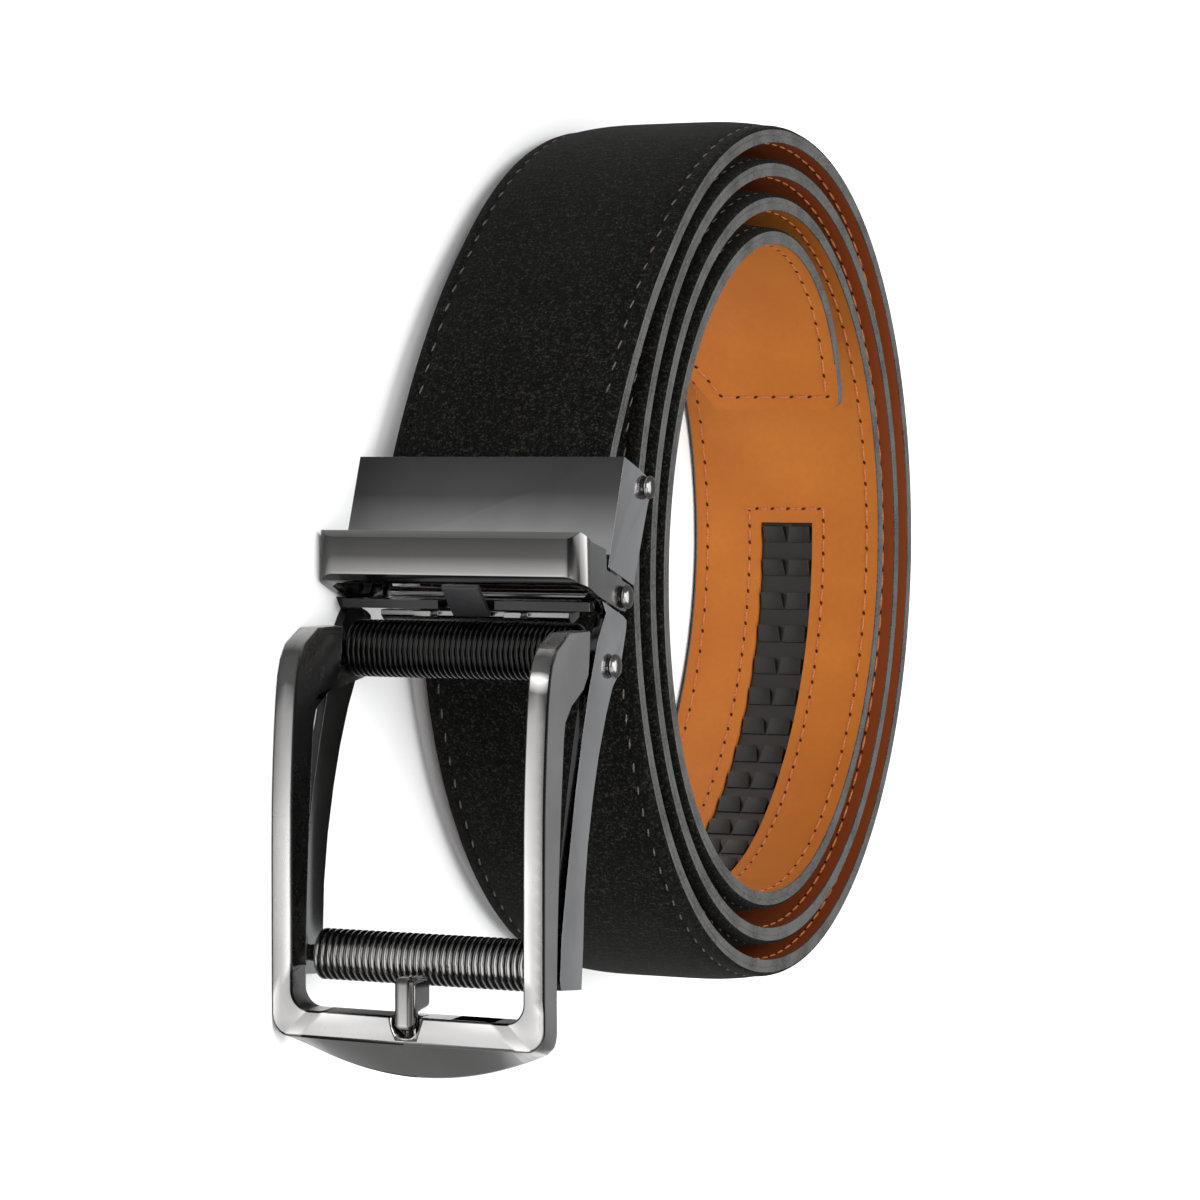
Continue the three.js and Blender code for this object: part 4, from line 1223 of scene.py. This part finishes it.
@dataclass
class Buckle:
    """Clamp, keeper, rear frame, ribbed bars, pins, pawl and release tab."""

    place: Vector
    nodes: dict[str, Object]
    finishes: Finishes
    width: float = 42.4
    sheet: float = 1.3
    lean: float = math.radians(20.5)
    upper_bar: Triple = (7.7, 7.7, 4.2)
    lower_bar: Triple = (51.1, 18.7, 3.7)
    bar_gap: tuple[float, float] = (0.9, 0.3)
    bar_stub: float = 1.2
    bar_shoulder: float = 0.6
    rib: Pairs = ((0.08, 0.36), (0.22, 0.1), (0.4, 0.0), (0.6, 0.0), (0.78, 0.1), (0.92, 0.36))
    frame_pin: tuple[float, float] = (9.7, 4.4)
    clamp_pin: tuple[float, float] = (-17.6, -2.3)
    pin_radius: float = 1.1
    pin_chamfer: float = 0.15
    pin_past: float = 0.6
    head_radius: float = 1.72
    head_gap: float = 0.3
    head_lip: Pairs = ((-0.06, 0.0), (0.03, 0.12), (0.0, 0.3))
    head_dome: float = 0.7

    def dressed(
        self, node: str, name: str, body: Body, finish: Material, width: float,
        front: tuple[float, float] = (0.0, -1.0), fade: float = 0.0,
    ) -> None:
        """A solid with its edges rounded.

        Args:
            node: the solid's name.
            name: the new piece's name.
            body: body it rides on.
            finish: its material.
            width: rounding of its edges.
            front: the direction that its face looks in, which the painted reflections follow.
            fade: how much the facing value, and with it the painted light, drops towards its upper end.
        """
        piece = Piece(name, self.place)
        piece.copy_of(self.nodes[node])
        piece.bevel_sharp(width, 4, above=28.0)
        piece.face_front(Vector((*front, 0.0)), fade)
        made = piece.finish(finish, flat=35.0)
        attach(made, body.value)
        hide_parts(node)

    def ribbed_bar(self, bar: Triple, node: str, name: str, pitch: float, finish: Material) -> None:
        """A roller with rounded ribs.

        Args:
            bar: its place down and out, and its radius.
            node: the solid it stands for.
            name: its name.
            pitch: spacing of the ribs.
            finish: its material.
        """
        down, out, radius = bar
        middle = self.width / 2
        clear = middle - 2 * self.sheet - self.bar_gap[0]
        seat = middle - self.sheet - self.bar_gap[1]
        count = round(2 * clear / pitch)
        step = 2 * clear / count
        stub, shoulder = self.bar_stub, radius - self.bar_shoulder
        ends = [(0.0, seat), (stub, seat), (stub, clear), (shoulder, clear)]
        profile = [(r, middle - h) for r, h in ends]
        for i in range(count):
            base = middle - clear + i * step
            profile += [(radius - drop, base + share * step) for share, drop in self.rib]
        profile += [(r, middle + h) for r, h in reversed(ends)]
        piece = Piece(name, self.place)
        piece.turned(profile, (down, out), 36)
        piece.face_front()
        made = piece.finish(finish, flat=60.0)
        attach(made, Body.FRAME.value)
        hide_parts(node)

    def pin(
        self, node: str, body: Body, spot: tuple[float, float], low: float, high: float, domed: bool = True
    ) -> None:
        """A pin, riveted over in a dome at its upper end where it shows.

        Args:
            node: the solid it stands for.
            body: body it rides on.
            spot: place down and out.
            low: its lower end.
            high: its upper end, under the head.
            domed: whether it has a head.
        """
        radius, chamfer, head = self.pin_radius, self.pin_chamfer, self.head_radius
        profile = [(0.0, low), (radius - chamfer, low), (radius, low + chamfer)]
        if domed:
            seat = high + self.head_gap
            rise = seat + self.head_lip[-1][1]
            profile.append((radius, seat))
            profile += [(head + r, seat + h) for r, h in self.head_lip]
            angles = (0.35, 0.7, 1.05, 1.35)
            profile += [(head * math.cos(a), rise + self.head_dome * math.sin(a)) for a in angles]
            profile.append((0.0, rise + self.head_dome))
        else:
            profile += [(radius, high - chamfer), (radius - chamfer, high), (0.0, high)]
        piece = Piece(f"{node}_turned", self.place)
        piece.turned(profile, spot)
        piece.face_front()
        made = piece.finish(self.finishes.steel, flat=50.0)
        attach(made, body.value)
        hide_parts(node)

    def build(self) -> None:
        """Builds every piece of the buckle behind the front frame."""
        clamp_painted_light, keeper = self.finishes.clamp_painted_light, self.finishes.keeper
        cos, sin = math.cos(self.lean), math.sin(self.lean)
        leaned = (-sin, -cos)
        # The clamp's plating paints reflections and shade, darker where it faces front.
        self.dressed("clamp_channel", "clamp_shell", Body.STRAP, clamp_painted_light, 0.45, leaned, 0.3)
        self.dressed("clamp_jaw", "jaw_plate", Body.STRAP, clamp_painted_light, 0.2)
        self.dressed("keeper_loop", "keeper_bar", Body.STRAP, keeper, 1.1, fade=0.4)
        self.dressed("rear_frame", "rear_arms", Body.FRAME, self.finishes.arms, 0.28)
        self.dressed("pawl", "pawl_plate", Body.FRAME, self.finishes.steel, 0.15)
        self.dressed("release_tab", "release_leaf", Body.FRAME, self.finishes.enamel, 0.15)
        # The upper roller gets the shaded copy and the lower one the lit copy of the ribbed plating: painted
        # shade and light.
        self.ribbed_bar(self.upper_bar, "upper_ribbed_bar", "upper_roller", 0.85, self.finishes.shaded_bar)
        self.ribbed_bar(self.lower_bar, "lower_ribbed_bar", "lower_roller", 1.0, self.finishes.lit_bar)
        down, out = self.clamp_pin
        jaw = (down * cos - out * sin, out * cos + down * sin)
        stub = 2 * self.sheet + self.pin_past
        self.pin("clamp_pin", Body.STRAP, jaw, 0.0, self.width)
        self.pin("hinge_pin", Body.STRAP, (0.0, 0.0), 0.0, self.width)
        self.pin("frame_pin_upper", Body.FRAME, self.frame_pin, self.width - stub, self.width)
        self.pin("frame_pin_lower", Body.FRAME, self.frame_pin, 0.0, stub, domed=False)


# Studio


@dataclass
class Studio:
    """Plain floor, soft lights and the camera, which stands as the photo's did.

    The camera's lengths are in millimetres from the coil's centre, before the tilt is undone.
    """

    centre: Vector
    tilt: float = math.radians(1.3)
    pivot: Triple = (0.0, -82.7, 21.2)
    eye: Triple = (-16.14, -568.16, 234.64)
    right: Triple = (0.0, 0.37461, 0.92718)
    view: Triple = (0.03996, 0.92645, -0.37431)
    lens: float = 109.15
    sensor: float = 36.0
    nearest: float = 0.01
    floor_half: float = 3.0
    floor_tone: Colour = (0.86, 0.86, 0.86)
    sky: Colour = (0.9, 0.92, 0.95)
    sky_strength: float = 0.34
    aim: Triple = (0.0, -0.02, 0.02)
    lamps: tuple[tuple[str, Triple, float, float], ...] = (
        ("key", (-0.35, -0.8, 0.95), 0.8, 9.0),
        ("fill", (0.5, -0.9, 0.6), 0.9, 6.0),
        ("top", (0.0, 0.0, 1.3), 1.3, 25.0),
    )

    def floor(self) -> None:
        """A wide pale floor."""
        bm = bmesh.new()
        bmesh.ops.create_grid(bm, x_segments=1, y_segments=1, size=self.floor_half)
        mesh = bpy.data.meshes.new("floor")
        bm.to_mesh(mesh)
        bm.free()
        shader = Shader("pale_floor")
        shader.set(Base_Color=self.floor_tone, Roughness=0.6, Specular_IOR_Level=0.2)
        mesh.materials.append(shader.material)
        made = bpy.data.objects.new("floor", mesh)
        bpy.context.scene.collection.objects.link(made)

    def lamp(self, name: str, spot: Vector, side: float, watts: float) -> None:
        """A soft square light aimed at the belt.

        Args:
            name: its name.
            spot: where it stands, in metres.
            side: its width and height.
            watts: its power.
        """
        data = bpy.data.lights.new(name, "AREA")
        data.shape = "RECTANGLE"
        data.size = side
        data.size_y = side
        data.energy = watts
        lamp = bpy.data.objects.new(name, data)
        lamp.location = spot
        lamp.rotation_euler = (Vector(self.aim) - spot).to_track_quat("-Z", "Y").to_euler()
        bpy.context.scene.collection.objects.link(lamp)

    def camera(self) -> None:
        """The camera at the photo's angle."""
        undo = Matrix.Rotation(-self.tilt, 3, "X")
        pivot = Vector(self.pivot)
        eye = undo @ (Vector(self.eye) - pivot) + pivot
        right = undo @ Vector(self.right)
        view = undo @ Vector(self.view)
        data = bpy.data.cameras.new("camera")
        data.lens = self.lens
        data.sensor_width = self.sensor
        data.clip_start = self.nearest
        camera = bpy.data.objects.new("camera", data)
        axes = Matrix.Identity(4)
        axes.col[0] = (*right, 0)
        axes.col[1] = (*right.cross(view), 0)
        axes.col[2] = (*(-view), 0)
        axes.col[3] = (*(eye * MM + self.centre), 1)
        camera.matrix_world = axes
        bpy.context.scene.collection.objects.link(camera)
        bpy.context.scene.camera = camera

    def world(self) -> None:
        """Dim even surroundings."""
        world = bpy.data.worlds.new("studio")
        world.use_nodes = True
        background = world.node_tree.nodes["Background"]
        background.inputs["Color"].default_value = (*self.sky, 1.0)
        background.inputs["Strength"].default_value = self.sky_strength
        bpy.context.scene.world = world
        bpy.context.scene.view_settings.view_transform = "Standard"

    def build(self) -> None:
        """Builds the studio."""
        self.floor()
        self.world()
        for name, spot, side, watts in self.lamps:
            self.lamp(name, Vector(spot), side, watts)
        self.camera()


def main() -> None:
    """Builds the belt and its studio."""
    logging.basicConfig(level=logging.INFO, format="%(name)s: %(message)s")
    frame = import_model()
    low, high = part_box("hinge_pin")
    hinge = Vector(((low[0] + high[0]) / 2, (low[1] + high[1]) / 2, 0.0))
    finishes = Finishes()
    coil = Coil(hinge)
    Studio(coil.centre).build()
    Strap(coil, finishes).build()
    Buckle(hinge, frame["nodes"], finishes).build()
    FrontFrame(hinge, finishes).build()


if __name__ == "__main__":
    main()
